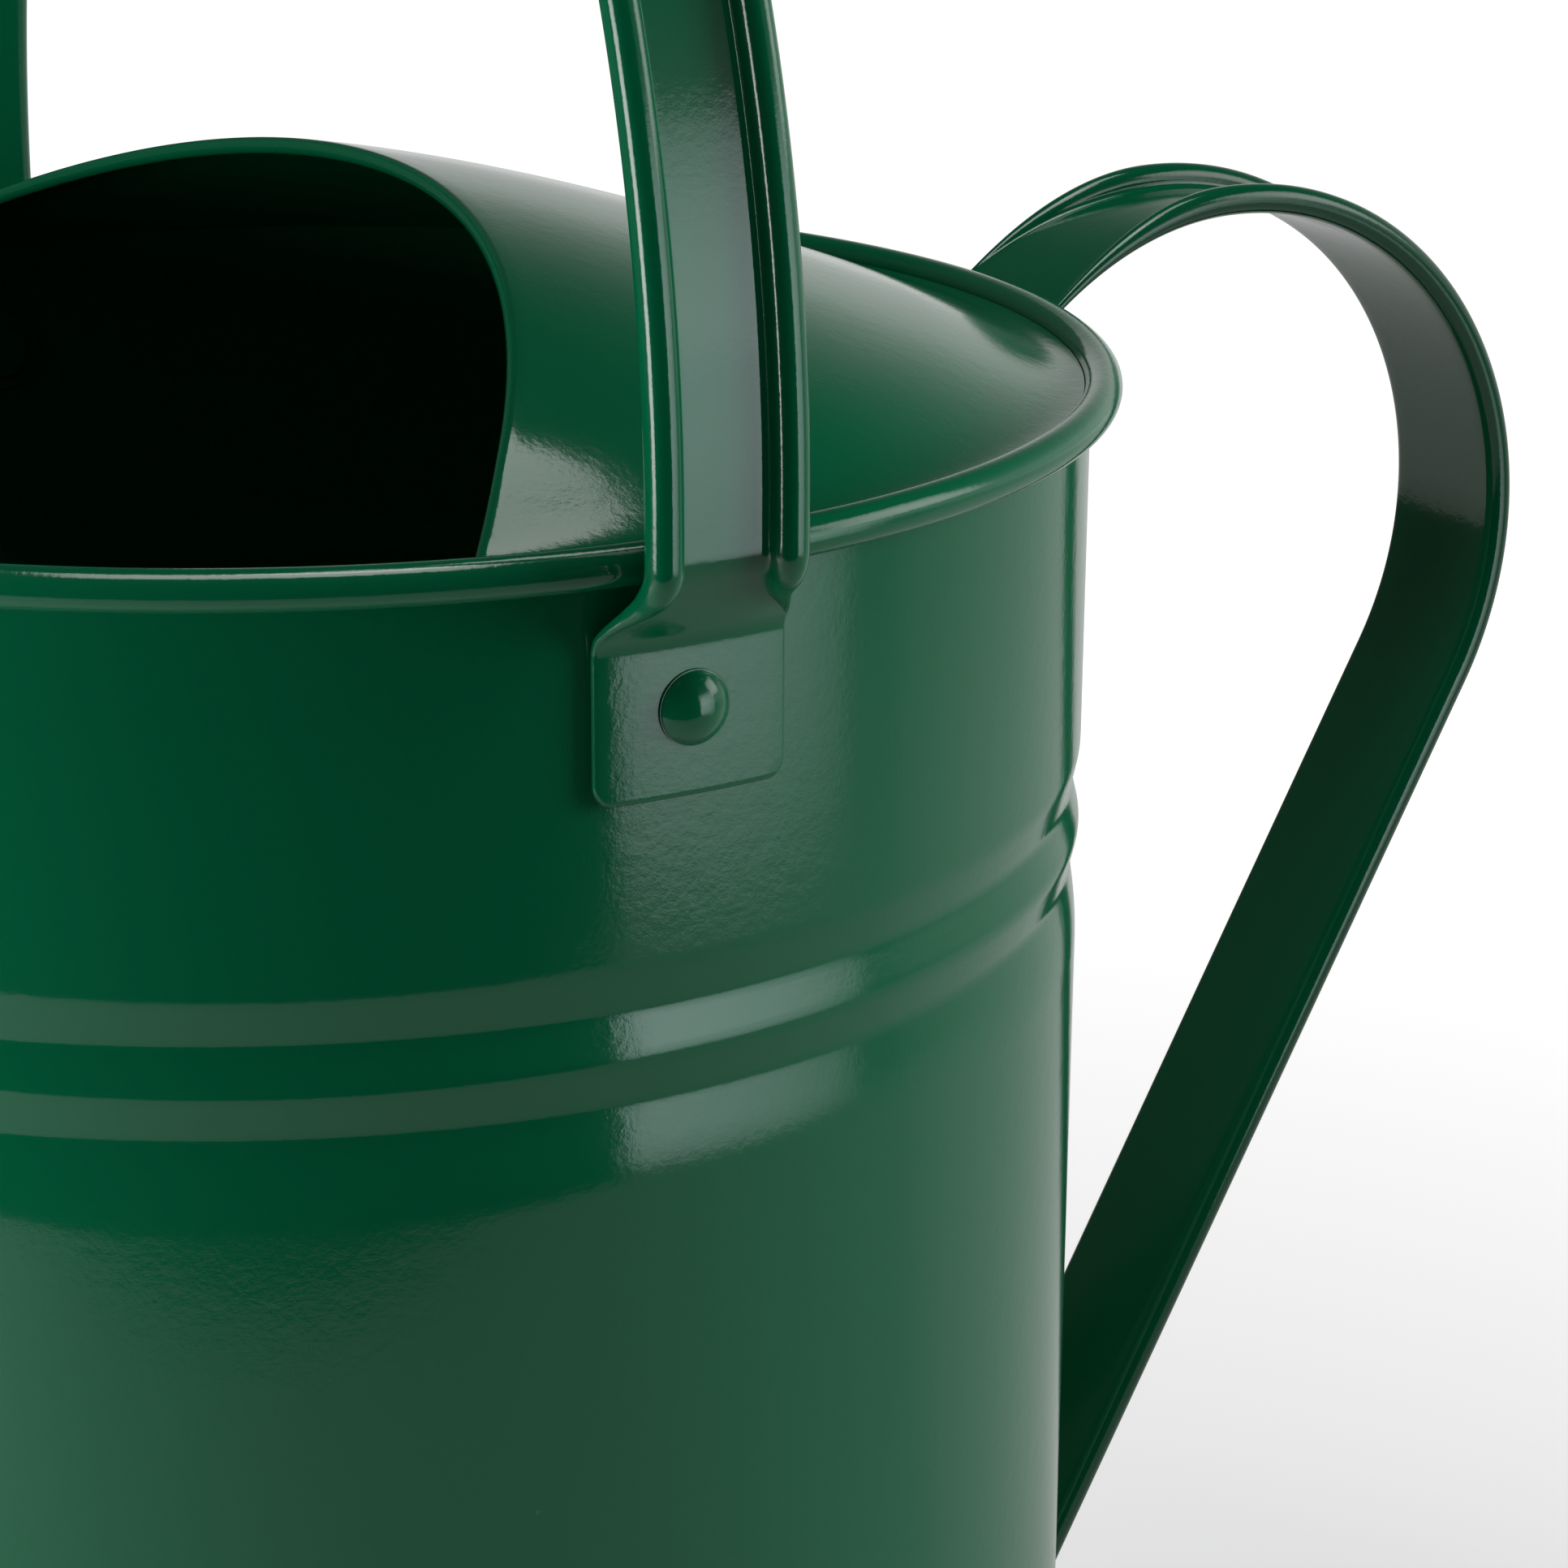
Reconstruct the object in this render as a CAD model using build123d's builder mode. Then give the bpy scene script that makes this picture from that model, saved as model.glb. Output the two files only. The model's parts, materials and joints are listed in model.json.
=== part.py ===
"""Round sheet-steel watering can: wired rim, half hood, two strap handles, braced spout and push-on rose.

Millimetres. The origin is the middle of the base on the ground. +X points to the spout and +Z up.
"""
import os
from math import asin, atan2, cos, degrees, hypot, radians, sin, sqrt, tan

from build123d import *

# Sheet and fits
sheet = 0.8                # steel of the body, base, hood, spout and rose
strap_sheet = 1.2          # steel of the handle straps and the brace
fit_gap = 0.1              # between sheets that lie on each other
running_gap = 0.05         # in rivet holes and in the rose's sleeve
wire_gap = 0.25            # round the rim wire
end_play = 0.3             # along the spout, at each end of the rose's sleeve

# Body
body_radius = 107.0        # outside of the plain wall
rim_height = 275.0         # ground to the middle of the rim bead
curl_radius = 2.45         # outside of the rolled rim bead
curl_turn = 300.0          # degrees that the sheet is rolled round the wire
groove_drop = 48.6         # rim to the top of the double groove
groove_slope = 5.6         # height of each of its four slopes
groove_depth = 1.2
groove_crest = 0.15        # how far the crest between the grooves stands proud of the wall
groove_rounding = 5.0
base_recess = 6.0          # ground to the underside of the base
base_fold = 5.0            # height of the fold that grips the wall's lower edge
base_rounding = 0.5

# Hood
hood_rise = 29.3           # above the rim, over the can's axis
hood_lean = 0.1            # rise gained for each millimetre towards the spout
hood_inset = 1.3           # from the wall's inside to where the hood passes the rim's middle
hood_front = -15.5         # X of the middle of the front edge
hood_cut_radius = 152.0    # plan radius of the front edge
hood_hem_width = 2.4
hood_hem_depth = 2.2
hood_skirt = 6.0           # flange that sits inside the wall, below the rim's middle
hood_net = 8               # spans of the point net that the dome is drawn on, each way

# Handle straps
bead_radius = 2.2          # rolled edges of the straps
tab_above = 6.1            # rivet to the bend
tab_below = 10.5           # rivet to the end of the tab
tab_corner = 2.7
strap_bend = 12.0          # radius of the bends at the rear handle's tabs

# Carry handle
carry_width = 20.4
carry_tab_width = 25.1     # flat riveted ends
carry_rivet_drop = 17.9    # rim to the rivets
joggle_height = 10.3       # sloping run that clears the rim
joggle_bend = 5.0
rim_clearance = 2.3        # rim bead to the strap
bead_start = 1.5           # joggle to where the rolled edges begin
arch_spring = 6.0          # from there to where the legs start to lean in
arch_side_radius = 170.6
arch_side_turn = 38.2      # degrees

# Rear handle
rear_width = 24.9
rear_tab_width = 28.9
rear_top_drop = 16.1       # rim to the upper tab's bend
rear_foot_height = 41.1    # ground to the lower tab's bend
rear_loop_radius = 53.2
rear_leave = 43.2          # degrees from upright at which the strap leaves the upper bend
rear_bead_turn = 10.0      # degrees of the loop before the rolled edges begin, clear of the wall

# Rivets
rivet_head_radius = 4.5
rivet_head_height = 2.4
rivet_shank_radius = 2.4
rivet_tail_radius = 3.8
rivet_tail_height = 1.2
washer_radius = 6.0
washer_thickness = 1.0

# Spout
spout_angle = 48.0         # degrees above the ground
spout_root_height = 72.0   # where its axis passes the wall
spout_root_radius = 23.0
spout_neck_radius = 11.0
spout_length = 300.0       # wall to neck, along the axis
neck_length = 22.0
collar_width = 8.0         # flange round the spout's root
collar_sheet = 1.0
ferrule_sheet = 1.1
ferrule_length = 34.0
stop_width = 2.2           # ring that the rose is pushed up to
stop_height = 2.0

# Brace between body and spout
brace_width = 14.0
brace_rim_drop = 25.0      # rim to the strip, which runs level from the wall to the spout
brace_tab = 20.0
brace_bend = 5.0

# Rose
sleeve_wall = 1.5          # rubber sleeve between the rose and the ferrule
sleeve_length = 18.0
sleeve_start = 4.0         # stop ring to the sleeve
lip = 1.0                  # inward lips that hold the sleeve in the socket
lip_height = 2.5
socket_length = 38.0
cone_overlap = 10.0        # how far the cone's neck is pushed over the socket
cone_height = 48.0
rose_radius = 40.0
rose_edge = 3.0            # straight edge of the cone inside the crimp ring
face_crown = 7.0           # bulge of the sprinkler face
crimp_wall = 1.0
crimp_lip = 2.5
hole_radius = 0.9
hole_rings = 4
hole_pitch = 8.0           # between rings of holes
holes_in_ring = 6          # added with each ring

os.makedirs("parts", exist_ok=True)


def save(node, name):
    """Label a finished piece and write it to its own file."""
    node.part.label = name
    export_step(node.part, f"parts/{name}.step")


# Shared places
inside_radius = body_radius - sheet
seat_radius = body_radius + fit_gap
tab_mid = seat_radius + strap_sheet / 2
tab_face_radius = seat_radius + strap_sheet
curl_middle = inside_radius + curl_radius
wall_foot = sheet + fit_gap
rivet_hole = rivet_shank_radius + running_gap

spout_direction = Vector(cos(radians(spout_angle)), 0, sin(radians(spout_angle)))
spout_upper = Vector(-sin(radians(spout_angle)), 0, cos(radians(spout_angle)))
spout_root = Vector(body_radius, 0, spout_root_height)
spout_axis = Axis(spout_root, spout_direction)
spout_cross = Plane(spout_root, x_dir=(0, 1, 0), z_dir=spout_direction)
spout_section = Plane(spout_root, x_dir=spout_upper, z_dir=(0, 1, 0))
rear_plane = Plane((0, 0, 0), x_dir=(-1, 0, 0), z_dir=(0, 1, 0))

carry_rivet_height = rim_height - carry_rivet_drop
rear_top_bend = rim_height - rear_top_drop
brace_wall_bend = rim_height - brace_rim_drop
brace_rivet_height = brace_wall_bend - brace_tab / 2


def spout_radius(reach):
    """Outside radius of the spout's cone at a distance along its axis from the wall."""
    share = reach / spout_length
    return spout_root_radius + (spout_neck_radius - spout_root_radius) * share


def spout_point(reach, radius):
    """A point of the spout's upper side, at a distance along the axis and a radius from it."""
    return spout_root + spout_direction * reach + spout_upper * radius


# Seats of the rivets: on the outer face of what they hold, with +Z pointing out
carry_seats = [
    Plane((0, side * tab_face_radius, carry_rivet_height), x_dir=(-side, 0, 0), z_dir=(0, side, 0))
    for side in (1, -1)
]
rear_seats = [
    Plane((-tab_face_radius, 0, bend - tab_above), x_dir=(0, -1, 0), z_dir=(-1, 0, 0))
    for bend in (rear_top_bend, rear_foot_height)
]
brace_wall_seat = Plane((tab_face_radius, 0, brace_rivet_height), x_dir=(0, 1, 0), z_dir=(1, 0, 0))
wall_seats = carry_seats + rear_seats + [brace_wall_seat]

spout_taper = atan2(spout_root_radius - spout_neck_radius, spout_length)
brace_lift = (fit_gap + strap_sheet) / cos(spout_taper)
strip_lift = (fit_gap + strap_sheet / 2) / cos(spout_taper)
brace_climb = brace_wall_bend - spout_root_height - (spout_root_radius + strip_lift) * spout_upper.Z
brace_spout_reach = brace_climb / (spout_direction.Z - tan(spout_taper) * spout_upper.Z)
brace_rivet_reach = brace_spout_reach + brace_tab / 2
brace_spout_point = spout_point(brace_rivet_reach, spout_radius(brace_rivet_reach) + brace_lift)
brace_spout_normal = spout_upper * cos(spout_taper) + spout_direction * sin(spout_taper)
brace_spout_seat = Plane(brace_spout_point, x_dir=(0, 1, 0), z_dir=brace_spout_normal)

# A flat washer in the round wall touches it at its edge
washer_sag = inside_radius - sqrt(inside_radius**2 - washer_radius**2)
wall_stack = tab_face_radius - inside_radius + washer_sag + running_gap
wall_grip = wall_stack + washer_thickness + running_gap
spout_tail_sag = rivet_tail_radius**2 / spout_radius(brace_rivet_reach)
spout_grip = strap_sheet + fit_gap + sheet + spout_tail_sag


# Body shell: wall with a double groove, its top edge rolled outwards round the wire
def wall_line(radius):
    """Corners of one face of the wall, from its foot up to the rim's middle."""
    groove_top = rim_height - groove_drop
    steps = (0, -groove_depth, groove_crest, -groove_depth, 0)
    slopes = [(radius + step, groove_top - n * groove_slope) for n, step in enumerate(steps)]
    return [(radius, wall_foot), *reversed(slopes), (radius, rim_height)]


with BuildPart() as body_shell:
    with BuildSketch(Plane.XZ):
        with BuildLine():
            inner_face = FilletPolyline(*wall_line(inside_radius), radius=groove_rounding)
            curl_outside = CenterArc((curl_middle, rim_height), curl_radius, 180, -curl_turn)
            curl_inside = CenterArc((curl_middle, rim_height), curl_radius - sheet, 180, -curl_turn)
            Line(curl_outside @ 1, curl_inside @ 1)
            outer_face = FilletPolyline(*wall_line(body_radius), radius=groove_rounding)
            Line(inner_face @ 0, outer_face @ 0)
        make_face()
    revolve(axis=Axis.Z)
    with BuildSketch(spout_cross):
        Circle(spout_root_radius - sheet)
    extrude(amount=2 * spout_root_radius, both=True, mode=Mode.SUBTRACT)
    with Locations(*wall_seats):
        Hole(rivet_hole, depth=2 * (wall_grip + washer_thickness))
save(body_shell, "body_shell")

# Steel wire inside the rolled rim
with BuildPart() as rim_wire:
    with BuildSketch(Plane.XZ):
        with Locations((curl_middle, rim_height)):
            Circle(curl_radius - sheet - wire_gap)
    revolve(axis=Axis.Z)
save(rim_wire, "rim_wire")

# Base: a recessed pan whose edge is folded round the wall's foot, where the can stands
with BuildPart() as base_pan:
    leg = inside_radius - fit_gap
    fold = seat_radius + sheet
    with BuildSketch(Plane.XZ):
        with BuildLine():
            Polyline(
                (0, base_recess), (leg - sheet, base_recess), (leg - sheet, 0), (fold, 0),
                (fold, base_fold), (seat_radius, base_fold), (seat_radius, sheet), (leg, sheet),
                (leg, base_recess + sheet), (0, base_recess + sheet), close=True,
            )
        face = make_face()
        fillet(face.vertices().group_by(Axis.Y)[0], base_rounding)
    revolve(axis=Axis.Z)
save(base_pan, "base_pan")


# Hood: a shallow dome over the rear half, higher towards the spout, with a hem along its front edge
hood_radius = inside_radius - fit_gap
hood_zero_radius = inside_radius - hood_inset
hood_cut_middle = hood_front + hood_cut_radius


def hood_height(x, y):
    """Height of the hood's outer face over a point in plan."""
    rise = hood_rise + hood_lean * x
    return rim_height + rise * (1 - (x**2 + y**2) / hood_zero_radius**2)


hood_steps = [2 * n / hood_net - 1 for n in range(hood_net + 1)]
hood_span = inside_radius + 2 * hood_inset
hood_face = Face.make_surface_from_array_of_points(
    [
        [Vector(u * hood_span, v * hood_span, hood_height(u * hood_span, v * hood_span)) for v in hood_steps]
        for u in hood_steps
    ]
)
hood_depth = hood_rise + hood_hem_depth
hood_under = rim_height - hood_rise

with BuildPart() as hood_hollow:
    extrude(to_extrude=hood_face.moved(Pos(0, 0, -sheet)), amount=hood_hem_depth, dir=(0, 0, -1))
    with BuildSketch(Plane.XY.offset(hood_under)):
        Circle(inside_radius)
        with Locations((hood_cut_middle, 0)):
            Circle(hood_cut_radius + hood_hem_width, mode=Mode.SUBTRACT)
    extrude(amount=2 * hood_depth, mode=Mode.INTERSECT)

with BuildPart() as hood:
    extrude(to_extrude=hood_face, amount=hood_hem_depth, dir=(0, 0, -1))
    with BuildSketch(Plane.XY.offset(hood_under)):
        Circle(hood_radius)
        with Locations((hood_cut_middle, 0)):
            Circle(hood_cut_radius, mode=Mode.SUBTRACT)
    extrude(amount=2 * hood_depth, mode=Mode.INTERSECT)
    add(hood_hollow.part, mode=Mode.SUBTRACT)
    skirt_top = hood_height(-hood_radius, 0) - sheet / 2
    with BuildSketch(Plane.XY.offset(rim_height - hood_skirt)):
        Circle(hood_radius)
        Circle(hood_radius - sheet, mode=Mode.SUBTRACT)
        with Locations((hood_cut_middle, 0)):
            Circle(hood_cut_radius, mode=Mode.SUBTRACT)
    extrude(amount=skirt_top - (rim_height - hood_skirt))
save(hood, "hood")


# Strap pieces that both handles share
def strap_section(plane, width):
    """Flat web with both edges rolled up on its outer side, which is the plane's +Y."""
    across = width / 2 - bead_radius
    above = bead_radius - strap_sheet / 2
    with BuildSketch(plane) as section:
        Rectangle(2 * across, strap_sheet)
        with Locations((-across, above), (across, above)):
            Circle(bead_radius)
    return section.sketch


def tab_outline(plane, tab_width, width, bend, narrow, top):
    """Front view of a riveted end: a rounded tab up to the bend, then narrowing to the strap's width."""
    low = bend - tab_above - tab_below
    with BuildSketch(plane) as outline:
        with BuildLine():
            Polyline(
                (-tab_width / 2, low), (tab_width / 2, low), (tab_width / 2, bend), (width / 2, narrow),
                (width / 2, top), (-width / 2, top), (-width / 2, narrow), (-tab_width / 2, bend), close=True,
            )
        face = make_face()
        fillet(face.vertices().group_by(Axis.Y)[0], tab_corner)
    return outline.sketch


blank_width = body_radius  # wider than any tab, so that the outline alone trims the sides


def tab_plate(middle, bend):
    """Blank that follows the round wall, from the tab's end up to the bend."""
    low = bend - tab_above - tab_below
    with BuildPart() as plate:
        with BuildSketch(Plane.XY.offset(low)):
            Circle(tab_face_radius)
            Circle(seat_radius, mode=Mode.SUBTRACT)
            with Locations(middle):
                Rectangle(blank_width, blank_width, mode=Mode.INTERSECT)
        extrude(amount=bend - low)
    return plate.part


# Carry handle: riveted tabs, joggles that clear the rim, and an arch over the can
leg_mid = curl_middle + curl_radius + rim_clearance + strap_sheet / 2
carry_bend = carry_rivet_height + tab_above
joggle_top = carry_bend + joggle_height
leg_top = joggle_top + bead_start
spring = leg_top + arch_spring
arch_turn = radians(arch_side_turn)
arch_top_radius = (leg_mid - arch_side_radius * (1 - cos(arch_turn))) / cos(arch_turn)
arch_middle = spring + (arch_side_radius - arch_top_radius) * sin(arch_turn)

with BuildPart() as carry_handle:
    with BuildLine(Plane.YZ) as joggle:
        FilletPolyline(
            (tab_mid, carry_rivet_height), (tab_mid, carry_bend), (leg_mid, joggle_top), (leg_mid, leg_top),
            radius=joggle_bend,
        )
    with BuildSketch(Plane(joggle.line @ 0, x_dir=(1, 0, 0), z_dir=(0, 0, 1))):
        Rectangle(blank_width, strap_sheet)
    sweep()
    split(bisect_by=Plane.XY.offset(carry_bend))
    add(tab_plate((0, body_radius), carry_bend))
    outline = tab_outline(Plane.XZ, carry_tab_width, carry_width, carry_bend, joggle_top, leg_top)
    extrude(to_extrude=outline, amount=-2 * body_radius, mode=Mode.INTERSECT)
    with BuildLine(Plane.YZ) as arch:
        Line((leg_mid, leg_top), (leg_mid, spring))
        CenterArc((leg_mid - arch_side_radius, spring), arch_side_radius, 0, arch_side_turn)
        CenterArc((0, arch_middle), arch_top_radius, arch_side_turn, 90 - arch_side_turn)
    sweep(sections=strap_section(Plane(arch.line @ 0, x_dir=(1, 0, 0), z_dir=(0, 0, 1)), carry_width))
    mirror(about=Plane.XZ)
    with Locations(*carry_seats):
        Hole(rivet_hole, depth=2 * strap_sheet)
save(carry_handle, "carry_handle")

# Rear handle: a loop behind the rim, then a straight run down to the wall
leave = radians(rear_leave)
bend_middle = tab_mid + strap_bend
loop_x = bend_middle + (rear_loop_radius - strap_bend) * cos(leave)
loop_z = rear_top_bend - (rear_loop_radius - strap_bend) * sin(leave)
foot_out = loop_x - bend_middle
foot_up = loop_z - rear_foot_height
foot_turn = atan2(foot_out, foot_up) + asin((rear_loop_radius + strap_bend) / hypot(foot_out, foot_up))
bead_angle = 180 - rear_leave - rear_bead_turn


def rear_end(bend, turn, lead):
    """A riveted tab on the rear wall, its bend of so many degrees, and the loop's lead with flat edges."""
    with BuildPart() as end:
        with BuildLine(rear_plane):
            Line((tab_mid, bend - tab_above), (tab_mid, bend))
            arc = CenterArc((bend_middle, bend), strap_bend, 180, -turn)
            if lead > 0:
                JernArc(arc @ 1, arc % 1, rear_loop_radius, -lead)
        with BuildSketch(Plane((-tab_mid, 0, bend - tab_above), x_dir=(0, 1, 0), z_dir=(0, 0, 1))):
            Rectangle(blank_width, strap_sheet)
        sweep()
        split(bisect_by=Plane.XY.offset(bend))
        add(tab_plate((-body_radius, 0), bend))
        outline = tab_outline(Plane.YZ, rear_tab_width, rear_width, bend, (arc @ 1).Z, rim_height)
        extrude(to_extrude=outline, amount=-2 * body_radius, mode=Mode.INTERSECT)
    return end.part


with BuildPart() as rear_handle:
    with BuildLine(rear_plane) as loop:
        around = CenterArc((loop_x, loop_z), rear_loop_radius, bead_angle, -(bead_angle + degrees(foot_turn)))
        Line(
            (loop_x + rear_loop_radius * cos(foot_turn), loop_z - rear_loop_radius * sin(foot_turn)),
            (bend_middle - strap_bend * cos(foot_turn), rear_foot_height + strap_bend * sin(foot_turn)),
        )
    sweep(sections=strap_section(Plane(around @ 0, x_dir=(0, -1, 0), z_dir=around % 0), rear_width))
    add(rear_end(rear_top_bend, rear_leave, rear_bead_turn))
    add(rear_end(rear_foot_height, degrees(foot_turn), 0))
    with Locations(*rear_seats):
        Hole(rivet_hole, depth=2 * strap_sheet)
save(rear_handle, "rear_handle")


# Rivets: domed head outside, tail formed over a washer inside the can
def rivet(grip):
    """One rivet whose head sits on the XY plane, over so much thickness."""
    ball = (rivet_head_radius**2 + rivet_head_height**2) / (2 * rivet_head_height)
    edge = degrees(atan2(rivet_head_height - ball, rivet_head_radius))
    end = -grip - rivet_tail_height
    with BuildPart() as one:
        with BuildSketch(Plane.XZ):
            with BuildLine():
                dome = CenterArc((0, rivet_head_height - ball), ball, -edge, 90 + edge)
                Polyline(
                    dome @ 0, (rivet_shank_radius, 0), (rivet_shank_radius, -grip),
                    (rivet_tail_radius, -grip), (rivet_tail_radius, end), (0, end), dome @ 1,
                )
            make_face()
        revolve(axis=Axis.Z)
    return one.part


def washer():
    """One washer whose outer face lies on the XY plane."""
    with BuildPart() as one:
        Cylinder(washer_radius, washer_thickness, align=(Align.CENTER, Align.CENTER, Align.MAX))
        Hole(rivet_hole)
    return one.part


riveted = {"carry_handle": carry_seats, "rear_handle": rear_seats, "brace": [brace_wall_seat]}
for held, seats in riveted.items():
    with BuildPart() as rivets:
        with Locations(*seats):
            add(rivet(wall_grip))
        if held == "brace":
            with Locations(brace_spout_seat):
                add(rivet(spout_grip))
    save(rivets, f"{held}_rivets")
    with BuildPart() as washers:
        with Locations(*[seat.offset(-wall_stack) for seat in seats]):
            add(washer())
    save(washers, f"{held}_washers")

# Spout: a cone cut to the round wall, with a straight neck
with BuildPart() as spout_tube:
    below = -2 * spout_root_radius
    with BuildSketch(spout_section):
        with BuildLine():
            Polyline(
                (spout_radius(below), below), (spout_neck_radius, spout_length),
                (spout_neck_radius, spout_length + neck_length),
                (spout_neck_radius - sheet, spout_length + neck_length),
                (spout_neck_radius - sheet, spout_length), (spout_radius(below) - sheet, below), close=True,
            )
        make_face()
    revolve(axis=spout_axis)
    with BuildSketch(Plane.XY.offset(-body_radius)):
        Circle(seat_radius)
    extrude(amount=2 * body_radius + rim_height, mode=Mode.SUBTRACT)
    with Locations(brace_spout_seat):
        Hole(rivet_hole, depth=spout_grip + sheet)
save(spout_tube, "spout_tube")

# Collar: a curved flange on the wall, round the spout's root
with BuildPart() as spout_collar:
    with BuildSketch(Plane.XY):
        Circle(seat_radius + collar_sheet)
        Circle(seat_radius, mode=Mode.SUBTRACT)
    extrude(amount=rim_height)
    with BuildSketch(spout_cross):
        Circle(spout_root_radius + collar_width)
    extrude(amount=2 * spout_root_radius, both=True, mode=Mode.INTERSECT)
    with BuildSketch(spout_section):
        with BuildLine():
            Polyline(
                (0, below), (spout_radius(below) + fit_gap, below),
                (spout_neck_radius + fit_gap, spout_length), (0, spout_length), close=True,
            )
        make_face()
    revolve(axis=spout_axis, mode=Mode.SUBTRACT)
save(spout_collar, "spout_collar")

# Ferrule: a sleeve on the neck with the stop ring that the rose is pushed up to
ferrule_bore = spout_neck_radius + fit_gap
ferrule_radius = ferrule_bore + ferrule_sheet
stop_top = spout_length + stop_height
ferrule_end = spout_length + ferrule_length
with BuildPart() as spout_ferrule:
    with BuildSketch(spout_section):
        with BuildLine():
            Polyline(
                (ferrule_bore, spout_length), (ferrule_radius + stop_width, spout_length),
                (ferrule_radius + stop_width, stop_top), (ferrule_radius, stop_top),
                (ferrule_radius, ferrule_end), (ferrule_bore, ferrule_end), close=True,
            )
        make_face()
    revolve(axis=spout_axis)
save(spout_ferrule, "spout_ferrule")

# Brace: a strip from the wall to the spout, with a riveted tab at each end
with BuildPart() as spout_brace:
    tab_ends = [spout_point(reach, spout_radius(reach) + strip_lift)
                for reach in (brace_spout_reach, brace_spout_reach + brace_tab)]
    with BuildLine(Plane.XZ) as strip:
        FilletPolyline(
            (tab_mid, brace_wall_bend - brace_tab), (tab_mid, brace_wall_bend),
            *[(point.X, point.Z) for point in tab_ends], radius=brace_bend,
        )
    with BuildSketch(Plane(strip.line @ 0, x_dir=(0, 1, 0), z_dir=(0, 0, 1))):
        Rectangle(brace_width, strap_sheet)
    sweep()
    with Locations(brace_wall_seat, brace_spout_seat):
        Hole(rivet_hole, depth=2 * strap_sheet)
save(spout_brace, "spout_brace")

# Rose: a rubber sleeve in a socket, a cone, a drilled face and the ring that crimps the two together
sleeve_bore = ferrule_radius + running_gap
socket_bore = sleeve_bore + sleeve_wall + running_gap
socket_radius = socket_bore + sheet
sleeve_low = stop_top + sleeve_start
sleeve_high = sleeve_low + sleeve_length
socket_low = stop_top + end_play
lip_low = sleeve_low - end_play
lip_high = sleeve_high + end_play
lip_top = lip_high + lip_height
lip_bore = socket_bore - lip
socket_high = socket_low + socket_length

with BuildPart() as rose_sleeve:
    with BuildSketch(spout_section):
        with BuildLine():
            Polyline(
                (sleeve_bore, sleeve_low), (sleeve_bore + sleeve_wall, sleeve_low),
                (sleeve_bore + sleeve_wall, sleeve_high), (sleeve_bore, sleeve_high), close=True,
            )
        make_face()
    revolve(axis=spout_axis)
save(rose_sleeve, "rose_sleeve")

with BuildPart() as rose_socket:
    with BuildSketch(spout_section):
        with BuildLine():
            Polyline(
                (lip_bore, socket_low), (socket_radius, socket_low), (socket_radius, socket_high),
                (socket_bore, socket_high), (socket_bore, lip_top), (lip_bore, lip_top),
                (lip_bore, lip_high), (socket_bore, lip_high), (socket_bore, lip_low),
                (lip_bore, lip_low), close=True,
            )
        make_face()
    revolve(axis=spout_axis)
save(rose_socket, "rose_socket")

cone_bore = socket_radius + fit_gap
cone_low = socket_high - cone_overlap
cone_high = socket_high + cone_height
with BuildPart() as rose_cone:
    with BuildSketch(spout_section):
        with BuildLine():
            Polyline(
                (cone_bore, cone_low), (cone_bore + sheet, cone_low), (cone_bore + sheet, socket_high),
                (rose_radius, cone_high), (rose_radius, cone_high + rose_edge),
                (rose_radius - sheet, cone_high + rose_edge), (rose_radius - sheet, cone_high),
                (cone_bore, socket_high), close=True,
            )
        make_face()
    revolve(axis=spout_axis)
save(rose_cone, "rose_cone")

# Sprinkler face: a shallow cap on the cone's edge, drilled in rings
face_low = cone_high + rose_edge + fit_gap
face_ball = (rose_radius**2 + face_crown**2) / (2 * face_crown)
face_turn = degrees(asin(rose_radius / face_ball))
ball_middle = face_low + face_crown - face_ball
with BuildPart() as rose_face:
    with BuildSketch(spout_section):
        with BuildLine():
            under = CenterArc((0, ball_middle), face_ball, 90 - face_turn, face_turn)
            over = CenterArc((0, ball_middle + sheet), face_ball, 90 - face_turn, face_turn)
            Line(under @ 0, over @ 0)
            Line(under @ 1, over @ 1)
        make_face()
    revolve(axis=spout_axis)
    with Locations(spout_cross.offset(face_low + face_crown + sheet)):
        Hole(hole_radius, depth=2 * face_crown)
        for ring in range(1, hole_rings + 1):
            with PolarLocations(ring * hole_pitch, ring * holes_in_ring):
                Hole(hole_radius, depth=2 * face_crown)
save(rose_face, "rose_face")

# Crimp ring: a band round the cone's edge with a lip over the face
crimp_bore = rose_radius + fit_gap
lip_edge = rose_radius - crimp_lip
lip_under = ball_middle + sheet + sqrt(face_ball**2 - lip_edge**2) + fit_gap
with BuildPart() as rose_crimp:
    with BuildSketch(spout_section):
        with BuildLine():
            Polyline(
                (crimp_bore, cone_high), (crimp_bore + crimp_wall, cone_high),
                (crimp_bore + crimp_wall, lip_under + crimp_wall), (lip_edge, lip_under + crimp_wall),
                (lip_edge, lip_under), (crimp_bore, lip_under), close=True,
            )
        make_face()
    revolve(axis=spout_axis)
save(rose_crimp, "rose_crimp")
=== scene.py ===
# %% [markdown]
# # A green watering can
# The can is sheet steel under a thick glossy green paint. Its measured model comes in model.glb with
# every piece in its place, so this lesson only dresses it: each piece gets a fine mesh with soft
# painted edges, a finish, and light like a photographer's white table.

# %% Load the imported can
import json
import math

import bmesh
import bpy
import numpy as np
from mathutils import Matrix, Vector

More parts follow.
